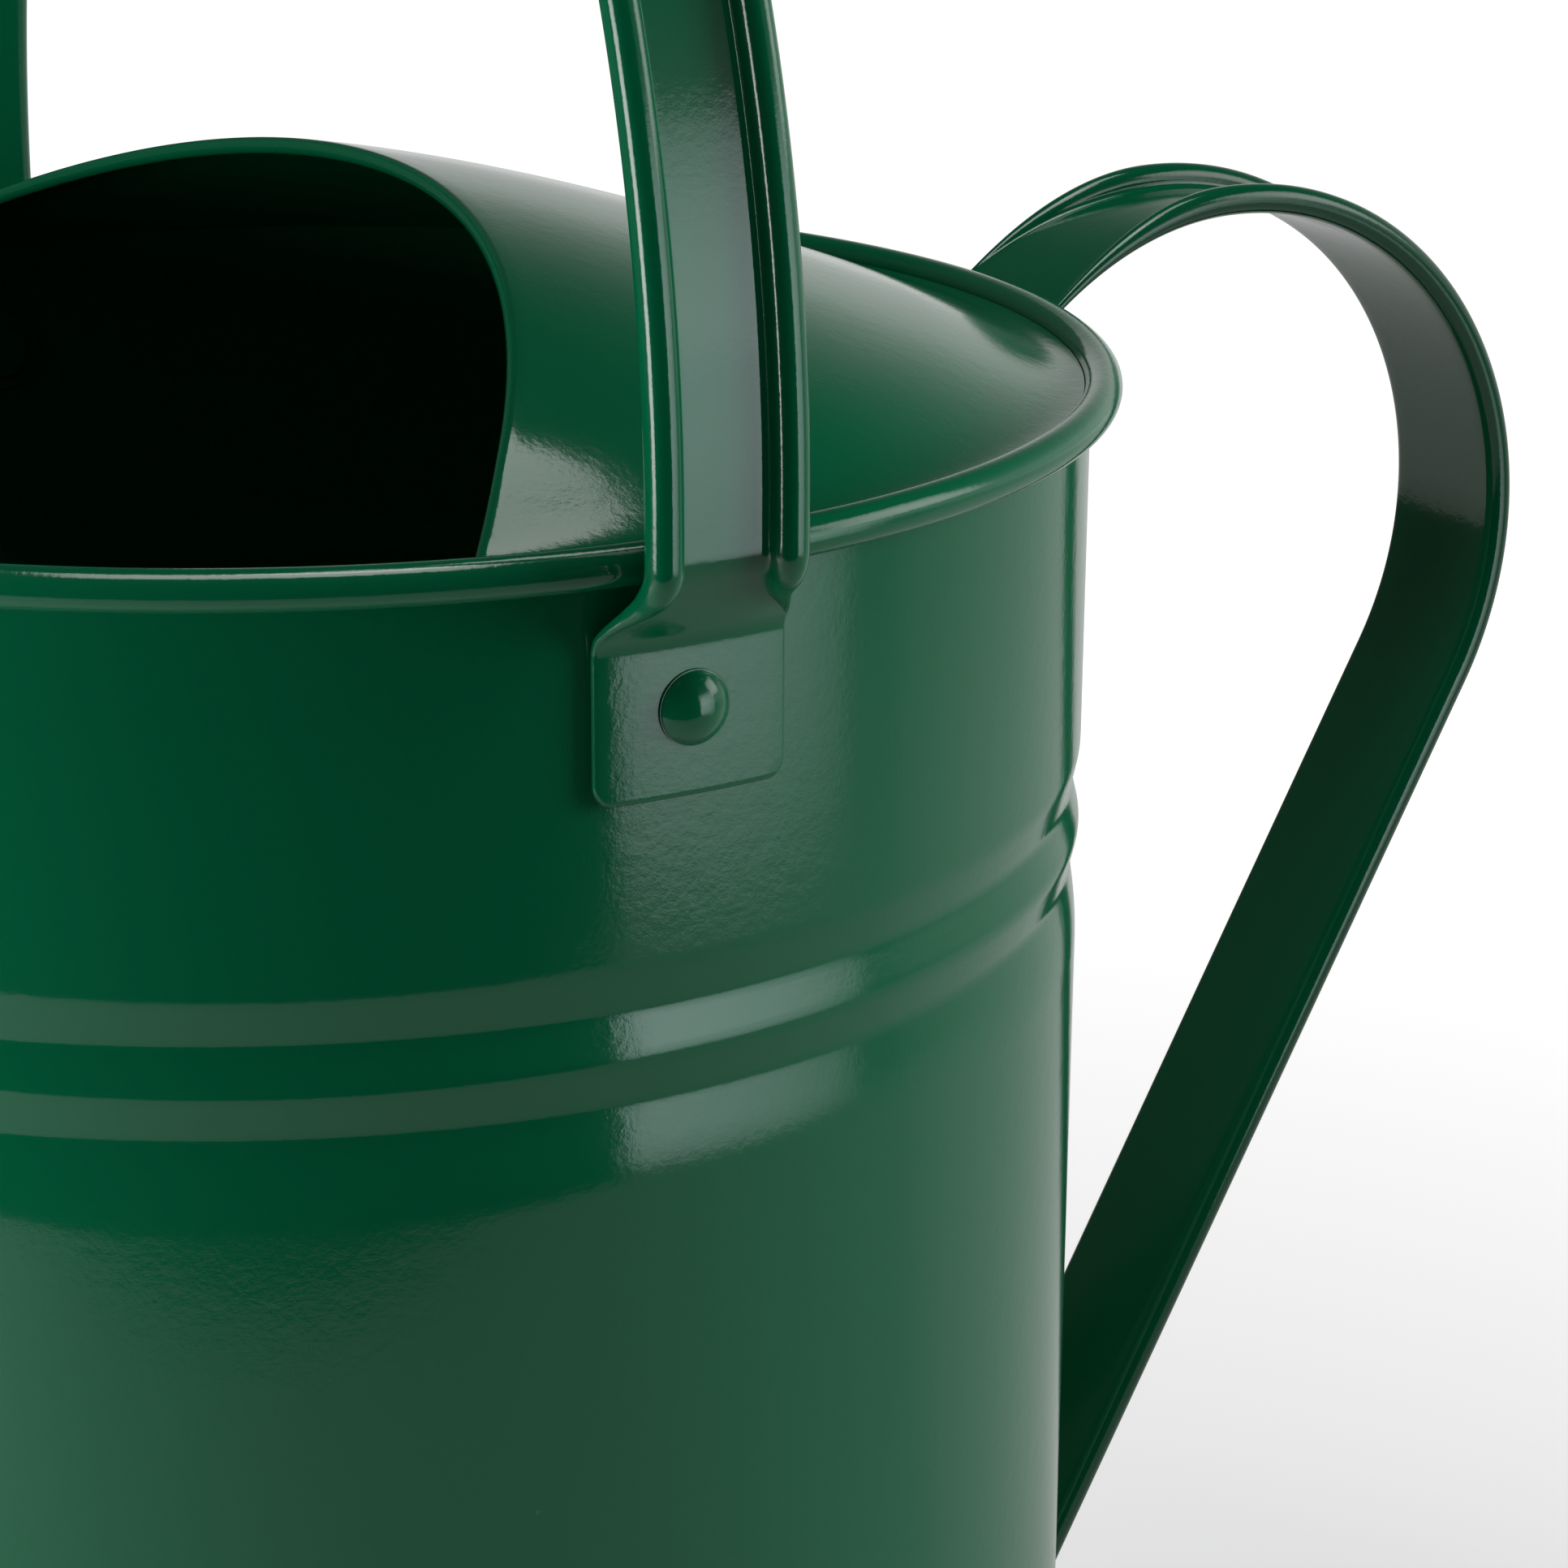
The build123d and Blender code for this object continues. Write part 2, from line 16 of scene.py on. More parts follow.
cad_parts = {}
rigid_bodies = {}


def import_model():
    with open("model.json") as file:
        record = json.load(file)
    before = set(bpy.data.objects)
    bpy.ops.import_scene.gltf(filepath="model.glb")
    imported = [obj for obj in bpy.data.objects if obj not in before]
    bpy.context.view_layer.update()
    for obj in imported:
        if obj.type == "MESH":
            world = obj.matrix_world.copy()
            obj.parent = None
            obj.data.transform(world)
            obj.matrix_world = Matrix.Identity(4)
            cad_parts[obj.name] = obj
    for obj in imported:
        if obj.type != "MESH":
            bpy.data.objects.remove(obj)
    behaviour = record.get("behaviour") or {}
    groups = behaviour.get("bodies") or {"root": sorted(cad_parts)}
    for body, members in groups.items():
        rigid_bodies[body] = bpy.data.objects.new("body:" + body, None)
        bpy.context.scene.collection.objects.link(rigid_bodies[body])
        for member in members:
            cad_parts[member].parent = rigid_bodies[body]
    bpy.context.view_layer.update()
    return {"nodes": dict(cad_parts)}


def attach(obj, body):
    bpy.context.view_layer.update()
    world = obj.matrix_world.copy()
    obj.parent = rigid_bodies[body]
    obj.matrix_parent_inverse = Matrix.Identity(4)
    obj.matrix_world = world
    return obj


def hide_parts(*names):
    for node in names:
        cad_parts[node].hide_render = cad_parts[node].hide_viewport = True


for old in list(bpy.data.objects):
    bpy.data.objects.remove(old)
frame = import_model()

# %% [markdown]
# ## Sizes
# Blender works in metres and the can was measured in millimetres. The sizes below repeat the measured
# ones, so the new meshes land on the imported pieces. Heights are above the ground.

# %% Shared sizes in millimetres
MM = 0.001
SHEET = 0.8
STRAP = 1.2
GAP = 0.1
BODY = 107.0
RIM = 275.0
CURL = 2.45
INSIDE = BODY - SHEET
SEAT = BODY + GAP
TAB_MID = SEAT + STRAP / 2
CURL_MIDDLE = INSIDE + CURL
SPOUT_ANGLE = math.radians(48)
SPOUT_ALONG = Vector((math.cos(SPOUT_ANGLE), 0, math.sin(SPOUT_ANGLE)))
SPOUT_UPPER = Vector((-math.sin(SPOUT_ANGLE), 0, math.cos(SPOUT_ANGLE)))
SPOUT_ROOT = Vector((BODY, 0, 72))
print("wall", 2 * BODY, "mm across, rim at", RIM, "mm")

# %% [markdown]
# ## Camera
# The photo looks down into the can from its spout side, with a long lens close to the rim. The place
# and aim were solved from the ellipse of the rim and the sides of the wall.

# %% Camera
CAMERA_OUT = 532.4
CAMERA_BEARING = 65.66
CAMERA_ABOVE_RIM = 119.3
CAMERA_AIM = 238.454
CAMERA_PITCH = -18.546
CAMERA_ROLL = 0.35

lens = bpy.data.cameras.new("camera")
lens.sensor_width = 36
lens.lens = 93.17
lens.clip_start = 0.01
camera = bpy.data.objects.new("camera", lens)
bpy.context.scene.collection.objects.link(camera)
bearing = math.radians(CAMERA_BEARING)
place = Vector((CAMERA_OUT * math.cos(bearing), CAMERA_OUT * math.sin(bearing), RIM + CAMERA_ABOVE_RIM))
aim = Matrix.Rotation(math.radians(CAMERA_AIM - 90), 4, "Z") @ Matrix.Rotation(
    math.radians(90 + CAMERA_PITCH), 4, "X") @ Matrix.Rotation(math.radians(CAMERA_ROLL), 4, "Z")
camera.matrix_world = Matrix.Translation(place * MM) @ aim
bpy.context.scene.camera = camera
print("camera at", [round(v, 4) for v in camera.location])

# %% [markdown]
# ## Making meshes
# Nearly every piece is a skin over rows of points: a turned piece repeats a profile round an axis, and
# a strap repeats its section along a path. One function lays quads over such rows. Sheets are laid as
# one surface, and a Solidify modifier gives them the sheet's thickness, as a press starts from flat
# steel.


# %% A skin over rows of points
def skin(name, *grids, around=False, along=False, caps=False):
    """A smooth mesh over grids of points in millimetres; around and along close the rows and columns."""
    points, faces = [], []
    for grid in grids:
        grid = np.asarray(grid, float)
        index = len(points) + np.arange(grid.shape[0] * grid.shape[1]).reshape(grid.shape[:2])
        points += (grid.reshape(-1, 3) * MM).tolist()
        rows = np.vstack([index, index[:1]]) if along else index
        rows = np.hstack([rows, rows[:, :1]]) if around else rows
        corners = [rows[:-1, :-1], rows[:-1, 1:], rows[1:, 1:], rows[1:, :-1]]
        faces += np.stack(corners, -1).reshape(-1, 4).tolist()
        if caps:
            faces += [index[0, ::-1].tolist(), index[-1].tolist()]
    mesh = bpy.data.meshes.new(name)
    mesh.from_pydata(points, [], faces)
    shaped = bmesh.new()
    shaped.from_mesh(mesh)
    bmesh.ops.remove_doubles(shaped, verts=shaped.verts, dist=1e-7)
    bmesh.ops.recalc_face_normals(shaped, faces=shaped.faces)
    shaped.to_mesh(mesh)
    shaped.free()
    mesh.shade_smooth()
    piece = bpy.data.objects.new(name, mesh)
    bpy.context.scene.collection.objects.link(piece)
    return piece


# %% A line with rounded corners
def eased(corners, radius, closed=False, steps=6):
    """The corners of a flat line with each one rounded, as a list of points."""
    corners = [np.array(c, float) for c in corners]
    count = len(corners)
    line = [] if closed else [corners[0]]
    for n in range(0 if closed else 1, count if closed else count - 1):
        here, before, after = corners[n], corners[n - 1], corners[(n + 1) % count]
        reach = min(radius, 0.45 * np.linalg.norm(before - here), 0.45 * np.linalg.norm(after - here))
        start = here + (before - here) / np.linalg.norm(before - here) * reach
        end = here + (after - here) / np.linalg.norm(after - here) * reach
        for t in np.linspace(0, 1, steps + 1):
            line.append((1 - t) ** 2 * start + 2 * t * (1 - t) * here + t * t * end)
    return np.array(line if closed else line + [corners[-1]])


# %% Dense points along a line
def dense(line, spacing):
    """Points about so far apart along a line of points."""
    line = np.asarray(line, float)
    steps = np.linalg.norm(np.diff(line, axis=0), axis=1)
    run = np.concatenate([[0], np.cumsum(steps)])
    places = np.linspace(0, run[-1], max(2, int(run[-1] / spacing) + 1))
    return np.stack([np.interp(places, run, line[:, k]) for k in range(line.shape[1])], -1)


# %% An even step
def smooth(value, low, high):
    """0 below low, 1 above high and an even S between."""
    t = np.clip((value - low) / (high - low), 0, 1)
    return t * t * (3 - 2 * t)


# %% Turned pieces
def turned(name, profile, places, segments=96, closed=True):
    """A profile of (radius, height) points turned about the Z axis of each place, all in one mesh."""
    turn = np.linspace(0, 2 * math.pi, segments, endpoint=False)
    profile = np.asarray(profile, float)
    rings = np.stack([
        profile[:, :1] * np.cos(turn), profile[:, :1] * np.sin(turn), profile[:, 1:] + 0 * turn,
    ], -1)
    grids = []
    for spot in places:
        spot = np.array(spot)
        grids.append(rings @ spot[:3, :3].T + spot[:3, 3])
    return skin(name, *grids, around=True, along=closed)


def facing(origin, outward):
    """A place whose Z axis points outward."""
    return Matrix.Translation(Vector(origin)) @ Vector(outward).to_track_quat("Z", "Y").to_matrix().to_4x4()


UPRIGHT = Matrix.Identity(4)
SPOUT_FRAME = facing(SPOUT_ROOT, SPOUT_ALONG)
print("spout at", round(math.degrees(SPOUT_ANGLE)), "degrees")

# %% [markdown]
# ## Shader arithmetic
# A finish is a small sum of noises and masks. Wrapping a socket in a class lets that sum be written as
# one: `1 - mask * 0.5` adds its own Math nodes. Every other node comes from one method.


# %% A socket that does arithmetic
class Flow:
    """One value in a node tree; sums and comparisons with it add Math nodes."""

    def __init__(self, tree, socket=None):
        self.tree = tree
        self.socket = socket

    def node(self, kind, settings=None, sockets=None, out=0):
        """Add a node: its settings first, then the values or links of its sockets."""
        made = self.tree.nodes.new(kind)
        for key, value in (settings or {}).items():
            setattr(made, key, value)
        for key, value in (sockets or {}).items():
            if isinstance(value, Flow):
                self.tree.links.new(value.socket, made.inputs[key])
            else:
                made.inputs[key].default_value = value
        return Flow(self.tree, made.outputs[out])

    def sum(self, operation, left, right):
        """Add one Math node."""
        return self.node("ShaderNodeMath", {"operation": operation}, {0: left, 1: right})

    def __add__(self, other):
        return self.sum("ADD", self, other)

    def __radd__(self, other):
        return self.sum("ADD", other, self)

    def __sub__(self, other):
        return self.sum("SUBTRACT", self, other)

    def __rsub__(self, other):
        return self.sum("SUBTRACT", other, self)

    def __mul__(self, other):
        return self.sum("MULTIPLY", self, other)

    def __rmul__(self, other):
        return self.sum("MULTIPLY", other, self)

    def __pow__(self, other):
        return self.sum("POWER", self, other)

    def __gt__(self, other):
        return self.sum("GREATER_THAN", self, other)

    def __lt__(self, other):
        return self.sum("LESS_THAN", self, other)


def finish_tree(name):
    """A new material, with a Flow to add nodes to and its shader."""
    material = bpy.data.materials.new(name)
    material.use_nodes = True
    return material, Flow(material.node_tree), material.node_tree.nodes["Principled BSDF"]


def feed(shader, **sockets):
    """Link values to a shader's sockets; a name's underscore stands for a space."""
    for name, value in sockets.items():
        value.tree.links.new(value.socket, shader.inputs[name.replace("_", " ")])


def noise(flow, where, scale, detail):
    """Noise over a piece, with so many features to the metre."""
    return flow.node("ShaderNodeTexNoise", None, {
        "Vector": where, "Scale": scale, "Detail": detail}, out="Fac")


def blend_colours(flow, share, first, second):
    """A colour between two, by a share of the second."""
    return flow.node("ShaderNodeMix", {"data_type": "RGBA"}, {0: share, 6: first, 7: second}, out=2)


# %% [markdown]
# ## Green paint
# The real finish is a stoved powder paint: deep green, glossy, with a faint orange peel, a fine grain
# that breaks up the reflections, and dust caught in it as small pale pimples. The colour hardly varies,
# so most of the life is in the surface. Photographs of paint could be wrapped on, but noise has no
# seams and no scale to run out of: broad peel, ripple and fine grain drive a bump, and the grain also
# drives the roughness.

# %% Green paint
GREEN = (0.001, 0.12, 0.050, 1)
PEEL, RIPPLE, GRAIN, DRIFT = 330, 1250, 3600, 9

paint, flow, shader = finish_tree("stoved_green")
where = flow.node("ShaderNodeTexCoord", out="Object")
peel = noise(flow, where, PEEL, 2)
ripple = noise(flow, where, RIPPLE, 2)
grain = noise(flow, where, GRAIN, 2)
drift = noise(flow, where, DRIFT, 3)
shader.inputs["IOR"].default_value = 1.5
print("peel", round(1 / PEEL / MM, 1), "mm apart, grain", round(1 / GRAIN / MM, 2), "mm")

# %% [markdown]
# Dust is rare and each grain differs in size. A Voronoi texture has one random colour to a cell, so one
# channel picks the few cells that hold a grain and another sets how large it is.

# %% Dust in the paint
GREEN_DUSTY = (0.045, 0.15, 0.09, 1)
DUST_CELLS = 95
DUST_SHARE = 0.14
DUST_LEAST, DUST_SPREAD = 0.006, 0.028
cell = {"Vector": where, "Scale": DUST_CELLS}
middle = flow.node("ShaderNodeTexVoronoi", {"feature": "F1"}, cell, out="Distance")
chance = flow.node("ShaderNodeTexVoronoi", {"feature": "F1"}, cell, out="Color")
pick = flow.node("ShaderNodeSeparateColor", None, {"Color": chance}, out="Red")
extent = flow.node("ShaderNodeSeparateColor", None, {"Color": chance}, out="Green")
speck = (middle < extent * DUST_SPREAD + DUST_LEAST) * (pick > 1 - DUST_SHARE)
print("one cell in", round(1 / DUST_SHARE), "holds a grain of dust")

# %% Paint put together
PAINT_RELIEF = 0.00001
relief = flow.node("ShaderNodeBump", None, {
    "Strength": 1.0, "Distance": PAINT_RELIEF,
    "Height": peel * 2.2 + ripple * 1.3 + grain * 0.6 + speck * 6})
feed(shader, Base_Color=blend_colours(flow, speck * 0.8 + drift * 0.01, GREEN, GREEN_DUSTY),
     Roughness=0.05 + grain * 0.07 + drift * 0.04 + speck * 0.2, Normal=relief)
print("paint nodes", len(flow.tree.nodes))

# %% [markdown]
# ## Wire and rubber
# Two finishes hardly show: the bare steel wire that stiffens the rim, seen only under the roll, and the
# rubber sleeve inside the rose. Both are plain shaders with a noise in the roughness, so that neither
# looks moulded.

# %% Bare wire
WIRE = (0.42, 0.43, 0.44, 1)
wire_finish, flow, shader = finish_tree("drawn_wire")
where = flow.node("ShaderNodeTexCoord", out="Object")
streaks = noise(flow, where, 900, 3)
shader.inputs["Metallic"].default_value = 1.0
shader.inputs["Base Color"].default_value = WIRE
feed(shader, Roughness=0.25 + streaks * 0.25)
print("wire nodes", len(flow.tree.nodes))

# %% Black rubber
RUBBER, RUBBER_BLOOM = (0.012, 0.012, 0.012, 1), (0.05, 0.05, 0.05, 1)
rubber, flow, shader = finish_tree("soft_rubber")
where = flow.node("ShaderNodeTexCoord", out="Object")
bloom = noise(flow, where, 300, 4)
feed(shader, Base_Color=blend_colours(flow, bloom * 0.5, RUBBER, RUBBER_BLOOM),
     Roughness=0.55 + bloom * 0.3)
print("finishes", [m.name for m in (paint, wire_finish, rubber)])

# %% [markdown]
# ## Dressing the pieces
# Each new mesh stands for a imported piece: it hides that piece, rides on its body and takes its finish.
# Painted steel has no sharp edges, because paint draws back from them and rounds what is left. A Bevel
# modifier does the same to any edge sharper than 50 degrees and leaves the smooth faces alone.


# %% Dressing a piece
PAINT_ROUND = 0.25
SHARP = math.radians(50)


def dress(piece, node, body="can", finish=paint):
    """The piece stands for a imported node, rides with its body and takes its finish."""
    piece.data.materials.clear()
    piece.data.materials.append(finish)
    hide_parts(node)
    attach(piece, body)
    print(node, "->", len(piece.data.polygons), "faces")


def refinish(node, finish):
    """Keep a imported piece's own mesh and give it a finish."""
    frame["nodes"][node].data.materials.clear()
    frame["nodes"][node].data.materials.append(finish)
    print(node, "keeps its mesh, in", finish.name)


def sheet_metal(piece, thickness, outward):
    """Give a surface the sheet's thickness, to the outside or the inside, and round its cut edges."""
    solid = piece.modifiers.new("sheet", "SOLIDIFY")
    solid.thickness = thickness * MM
    solid.offset = 1 if outward else -1
    round_edge = piece.modifiers.new("painted_edge", "BEVEL")
    round_edge.width = PAINT_ROUND * MM
    round_edge.segments = 3
    round_edge.limit_method = "ANGLE"
    round_edge.angle_limit = SHARP
    round_edge.harden_normals = True


# %% [markdown]
# ## Wall and rim
# The wall is one sheet: up from the foot, in and out over the two rolled grooves that stiffen it, and
# rolled outwards round a wire at the top. The line below is its inner face, because that face is the
# one that shows on the rolled bead. Turning it round the axis and adding thickness outwards gives the
# whole wall.

# %% Line of the wall
FOOT = SHEET + GAP
GROOVE_TOP = RIM - 48.6
GROOVE_SLOPE = 5.6
GROOVE_STEPS = (0, -1.2, 0.15, -1.2, 0)
GROOVE_RUNOUT = 2.4
RUNOUT_EASE, GROOVE_EASE = 4.5, 0.9
CURL_TURN = 300

grooves = [(INSIDE + step, GROOVE_TOP - n * GROOVE_SLOPE) for n, step in enumerate(GROOVE_STEPS)]
lowest = grooves[-1][1] - GROOVE_RUNOUT
runout = eased([(INSIDE, FOOT), (INSIDE, lowest), grooves[-2]], RUNOUT_EASE, steps=10)
rolled = eased([runout[-2], *grooves[-2::-1], (INSIDE, RIM)], GROOVE_EASE, steps=8)
straight = np.vstack([runout[:-1], rolled[1:]])
curl_angles = np.radians(np.linspace(0, CURL_TURN, 61))
curl = np.stack([CURL_MIDDLE - CURL * np.cos(curl_angles), RIM + CURL * np.sin(curl_angles)], -1)
wall_line = np.vstack([dense(straight, 0.55)[:-1], curl])
print("wall line", len(wall_line), "points")

# %% [markdown]
# The spout opens into the wall, so the wall has a hole along the spout's axis. A Boolean would leave
# thin slivers round it. Instead the faces inside the hole are deleted, and the points left on its edge
# are moved onto a clean round outline that stays on the wall.


# %% Wall with the opening into the spout
SPOUT_ROOT_RADIUS = 23.0
AROUND = 400
hole = (SPOUT_ROOT_RADIUS - SHEET) * MM


def off_spout(spot):
    """How a point, in metres, lies off the spout's axis."""
    off = spot - SPOUT_ROOT * MM
    return off - SPOUT_ALONG * off.dot(SPOUT_ALONG)


wall = turned("wall", wall_line, [UPRIGHT], AROUND, closed=False)
shaped = bmesh.new()
shaped.from_mesh(wall.data)
inside = {v for v in shaped.verts if v.co.x > 0 and off_spout(v.co).length < hole}
lost = [f for f in shaped.faces if all(v in inside for v in f.verts)]
bmesh.ops.delete(shaped, geom=lost, context="FACES")
for v in [v for v in inside if v.is_valid and v.link_faces]:
    off = off_spout(v.co)
    v.co += off.normalized() * (hole - off.length)
    level = Vector((v.co.x, v.co.y, 0)).normalized() * INSIDE * MM
    v.co.x, v.co.y = level.x, level.y
bmesh.ops.delete(shaped, geom=[v for v in shaped.verts if not v.link_faces], context="VERTS")
shaped.to_mesh(wall.data)
shaped.free()
print("opening takes out", len(lost), "faces")

# %% Thickness of the wall
wall.data.shade_smooth()
low_face = wall.data.polygons[AROUND * 20]
faces_out = low_face.normal.dot(Vector((low_face.center.x, low_face.center.y, 0))) > 0
sheet_metal(wall, SHEET, outward=faces_out)
dress(wall, "body_shell")

# %% [markdown]
# ### Rim wire
# A drawn steel wire lies inside the rolled rim and keeps it round. Its measured mesh is a plain ring,
# which is the right shape already, so it only takes the bare metal.

# %% Rim wire
refinish("rim_wire", wire_finish)

# %% [markdown]
# ## Base
# The base is out of the photo. Cans of this kind have a recessed pan whose edge is folded round the
# foot of the wall, and the can stands on that fold. It is one closed profile, turned, because a fold
# this tight leaves a Solidify modifier no room.

# %% Base pan
RECESS = 6.0
FOLD_HEIGHT = 5.0
FOLD_EASE = 0.45
leg = INSIDE - GAP
fold = SEAT + SHEET
pan_loop = eased([
    (leg - SHEET, RECESS), (leg - SHEET, 0), (fold, 0), (fold, FOLD_HEIGHT), (SEAT, FOLD_HEIGHT),
    (SEAT, SHEET), (leg, SHEET), (leg, RECESS + SHEET)], FOLD_EASE)
pan_line = np.vstack([[(0, RECESS)], pan_loop, [(0, RECESS + SHEET)]])
base = turned("base", pan_line, [UPRIGHT], 256, closed=False)
dress(base, "base_pan")

# %% [markdown]
# ## Hood
# The hood covers the rear half of the mouth: a shallow dome, highest at its front edge, that flares out
# flat where it meets the rim. In plan the front edge is an arc. Rows of points run from that arc to the
# rim, and each takes its height from one formula; extra rows roll the front edge under as a hem and
# turn the rear edge down inside the wall.

# %% Plan of the hood
HOOD_FRONT = -15.5
HOOD_CUT = 152.0
HOOD_EDGE = INSIDE - GAP
cut_middle = HOOD_FRONT + HOOD_CUT
corner_x = (cut_middle ** 2 + HOOD_EDGE ** 2 - HOOD_CUT ** 2) / (2 * cut_middle)
corner_y = math.sqrt(HOOD_EDGE ** 2 - corner_x ** 2)
front_swing = math.asin(corner_y / HOOD_CUT)
rear_swing = math.pi - math.atan2(corner_y, corner_x)
across = np.sin(np.linspace(-math.pi / 2, math.pi / 2, 241))
front_turn, rear_turn = front_swing * across, rear_swing * across
front = np.stack([cut_middle - HOOD_CUT * np.cos(front_turn), HOOD_CUT * np.sin(front_turn)], -1)
rear = np.stack([-HOOD_EDGE * np.cos(rear_turn), HOOD_EDGE * np.sin(rear_turn)], -1)
print("hood corners at", round(corner_x, 1), round(corner_y, 1))


# %% Height of the hood
HOOD_RISE, HOOD_LEAN, HOOD_SPAN = 29.3, 0.1, 104.4
FLARE_FROM, FLARE_TO, FLARE_OUT = 84, 101, 2.2
LIP_SLOPE, LIP_DROP, LIP_BLEND = 0.1, 0.15, 1.4
HOOD_SETTLE = 0.1


def hood_height(spot):
    """Height over points in plan: a leaning dome that flares to a flat lip at the rim."""
    x = spot[..., 0]
    reach = np.hypot(x, spot[..., 1])
    spread = reach + FLARE_OUT * smooth(reach, FLARE_FROM, FLARE_TO)
    dome = (HOOD_RISE + HOOD_LEAN * x) * (1 - (spread / HOOD_SPAN) ** 2)
    lip = LIP_SLOPE * (reach - HOOD_EDGE) - LIP_DROP
    return RIM + (dome + lip + np.sqrt((dome - lip) ** 2 + LIP_BLEND ** 2)) / 2 - HOOD_SETTLE


front_rise = hood_height(np.array([HOOD_FRONT, 0.0])) - RIM
print("hood's front stands", round(float(front_rise), 1), "mm over the rim")

# %% [markdown]
# The front edge of the hood is the one that shows: it is rolled under as a hem so that it doesn't cut.
# The hem leaves the dome along its slope, so each row finds which way is ahead and which way is above
# it.

# %% Hem of the hood
HEM = 1.15
HEM_ANGLES = np.radians(np.linspace(205, 12, 18))
share = np.sin(np.linspace(0, math.pi / 2, 61))
top = front[None] + (rear - front)[None] * share[:, None, None]
rows = np.concatenate([top, hood_height(top)[..., None]], -1)
forward = np.stack([np.cos(front_turn), -np.sin(front_turn)], -1)
slope = hood_height(front + forward / 2) - hood_height(front - forward / 2)
steep = np.sqrt(1 + slope ** 2)[:, None]
ahead = np.column_stack([forward, slope]) / steep
above = np.column_stack([-forward * slope[:, None], np.ones(len(slope))]) / steep
hem = [rows[0] + ahead * HEM * math.sin(a) - above * HEM * (1 - math.cos(a)) for a in HEM_ANGLES]
print("hem", len(hem), "rows, dome", len(rows), "rows")

# %% Hood
SKIRT_DROPS = (0.4, 1.0, 2.0, 4.0, 6.0)
skirt = [rows[-1] - (0, 0, drop) for drop in SKIRT_DROPS]
hood = skin("hood", np.concatenate([hem, rows, skirt]))
sheet_metal(hood, SHEET, outward=False)
dress(hood, "hood")

# %% [markdown]
# ## Strap handles
# Both handles are strips with their edges rolled up into beads, which makes them stiff and kind to the
# hand. Towards the rivets the beads fade and the strip widens into a flat tab that follows the round
# wall. So the section changes along the path: its half width, the radius of the rolled edge and how far
# it wraps the wall. A curve with a bevel profile keeps one section all the way, so the sections are
# worked out and skinned here.


# %% Section of a strap
def strap_section(half, roll, web, fillet=0.9):
    """Outline of a web with both edges rolled to a radius, as points (across, above)."""
    x, y = half - roll, roll - web / 2
    drop = web / 2 + fillet - y
    x_fillet = x - math.sqrt(max((roll + fillet) ** 2 - drop ** 2, 0))
    meet = math.atan2(drop, x_fillet - x) % (2 * math.pi)
    bead = np.linspace(-math.pi / 2, meet, 22)
    hollow = np.linspace(meet - math.pi, -math.pi / 2, 7)[1:]
    side = [(x * t, -web / 2) for t in np.linspace(0, 1, 8)[:-1]]
    side += [(x + roll * math.cos(a), y + roll * math.sin(a)) for a in bead]
    side += [(x_fillet + fillet * math.cos(a), web / 2 + fillet + fillet * math.sin(a)) for a in hollow]
    side += [(x_fillet * t, web / 2) for t in np.linspace(1, 0, 8)[1:]]
    side = np.array(side)
    return np.vstack([side, side[-2:0:-1] * (-1, 1)])


# %% Sweep of a strap
def strap_rings(path, halves, rolls, webs, wraps, side):
    """Sections along a path of (out, up) points; side is 1 where beads lie left of the path, else -1."""
    ahead = np.gradient(path, axis=0)
    ahead /= np.linalg.norm(ahead, axis=1)[:, None]
    rings = []
    for (out, up), (go_out, go_up), half, roll, web, wrap in zip(path, ahead, halves, rolls, webs, wraps):
        section = strap_section(half, roll, web)
        radius = out - side * go_up * section[:, 1]
        height = up + side * go_out * section[:, 1]
        turn = section[:, 0] / out
        flat = np.stack([section[:, 0], radius], -1)
        bent = np.stack([radius * np.sin(turn), radius * np.cos(turn)], -1)
        rings.append(np.column_stack([flat + (bent - flat) * wrap, height]))
    return np.array(rings)


# %% Tab of a strap
BEAD = 2.2
TAB_CORNER = 2.7
TAB_ABOVE = 6.1
TAB_BELOW = 10.5
TIP_FLAT = 0.995
TAB_STARTS = np.array([0.0, 0.03, 0.09, 0.18, 0.3, 0.45, 0.6, 0.9, 1.3, 1.8, 2.3, TAB_CORNER])


def rounded_end(run):
    """Thickness of a strap whose end is rounded, by distance from that end."""
    tip = np.clip(1 - run / (STRAP / 2), 0, TIP_FLAT)
    return STRAP * np.sqrt(1 - tip ** 2)


def tab_shape(run, tab_width, width, narrow_from, narrow_to, bead_from, bead_to):
    """Half width, edge roll and web along a strap, by distance from the end of its tab."""
    corner = np.clip(TAB_CORNER - run, 0, TAB_CORNER)
    half = tab_width / 2 - TAB_CORNER + np.sqrt(TAB_CORNER ** 2 - corner ** 2)
    half = half + (width - tab_width) / 2 * smooth(run, narrow_from, narrow_to)
    web = rounded_end(run)
    roll = web / 2 + (BEAD - STRAP / 2) * smooth(run, bead_from, bead_to)
    return half, roll, web


def run_along(path):
    """Distance along a path of points."""
    return np.concatenate([[0], np.cumsum(np.linalg.norm(np.diff(path, axis=0), axis=1))])


print("tab", TAB_ABOVE + TAB_BELOW, "mm high, beads", 2 * BEAD, "mm thick")

# %% [markdown]
# ### Carry handle
# It rises from a tab on each side, steps out over the rim in a short joggle, and arches over the can.
# The arch is three arcs: wide ones that lean the sides in, and a tighter one over the top that meets
# them without a kink. Only one side is worked out, and the other is its mirror image.

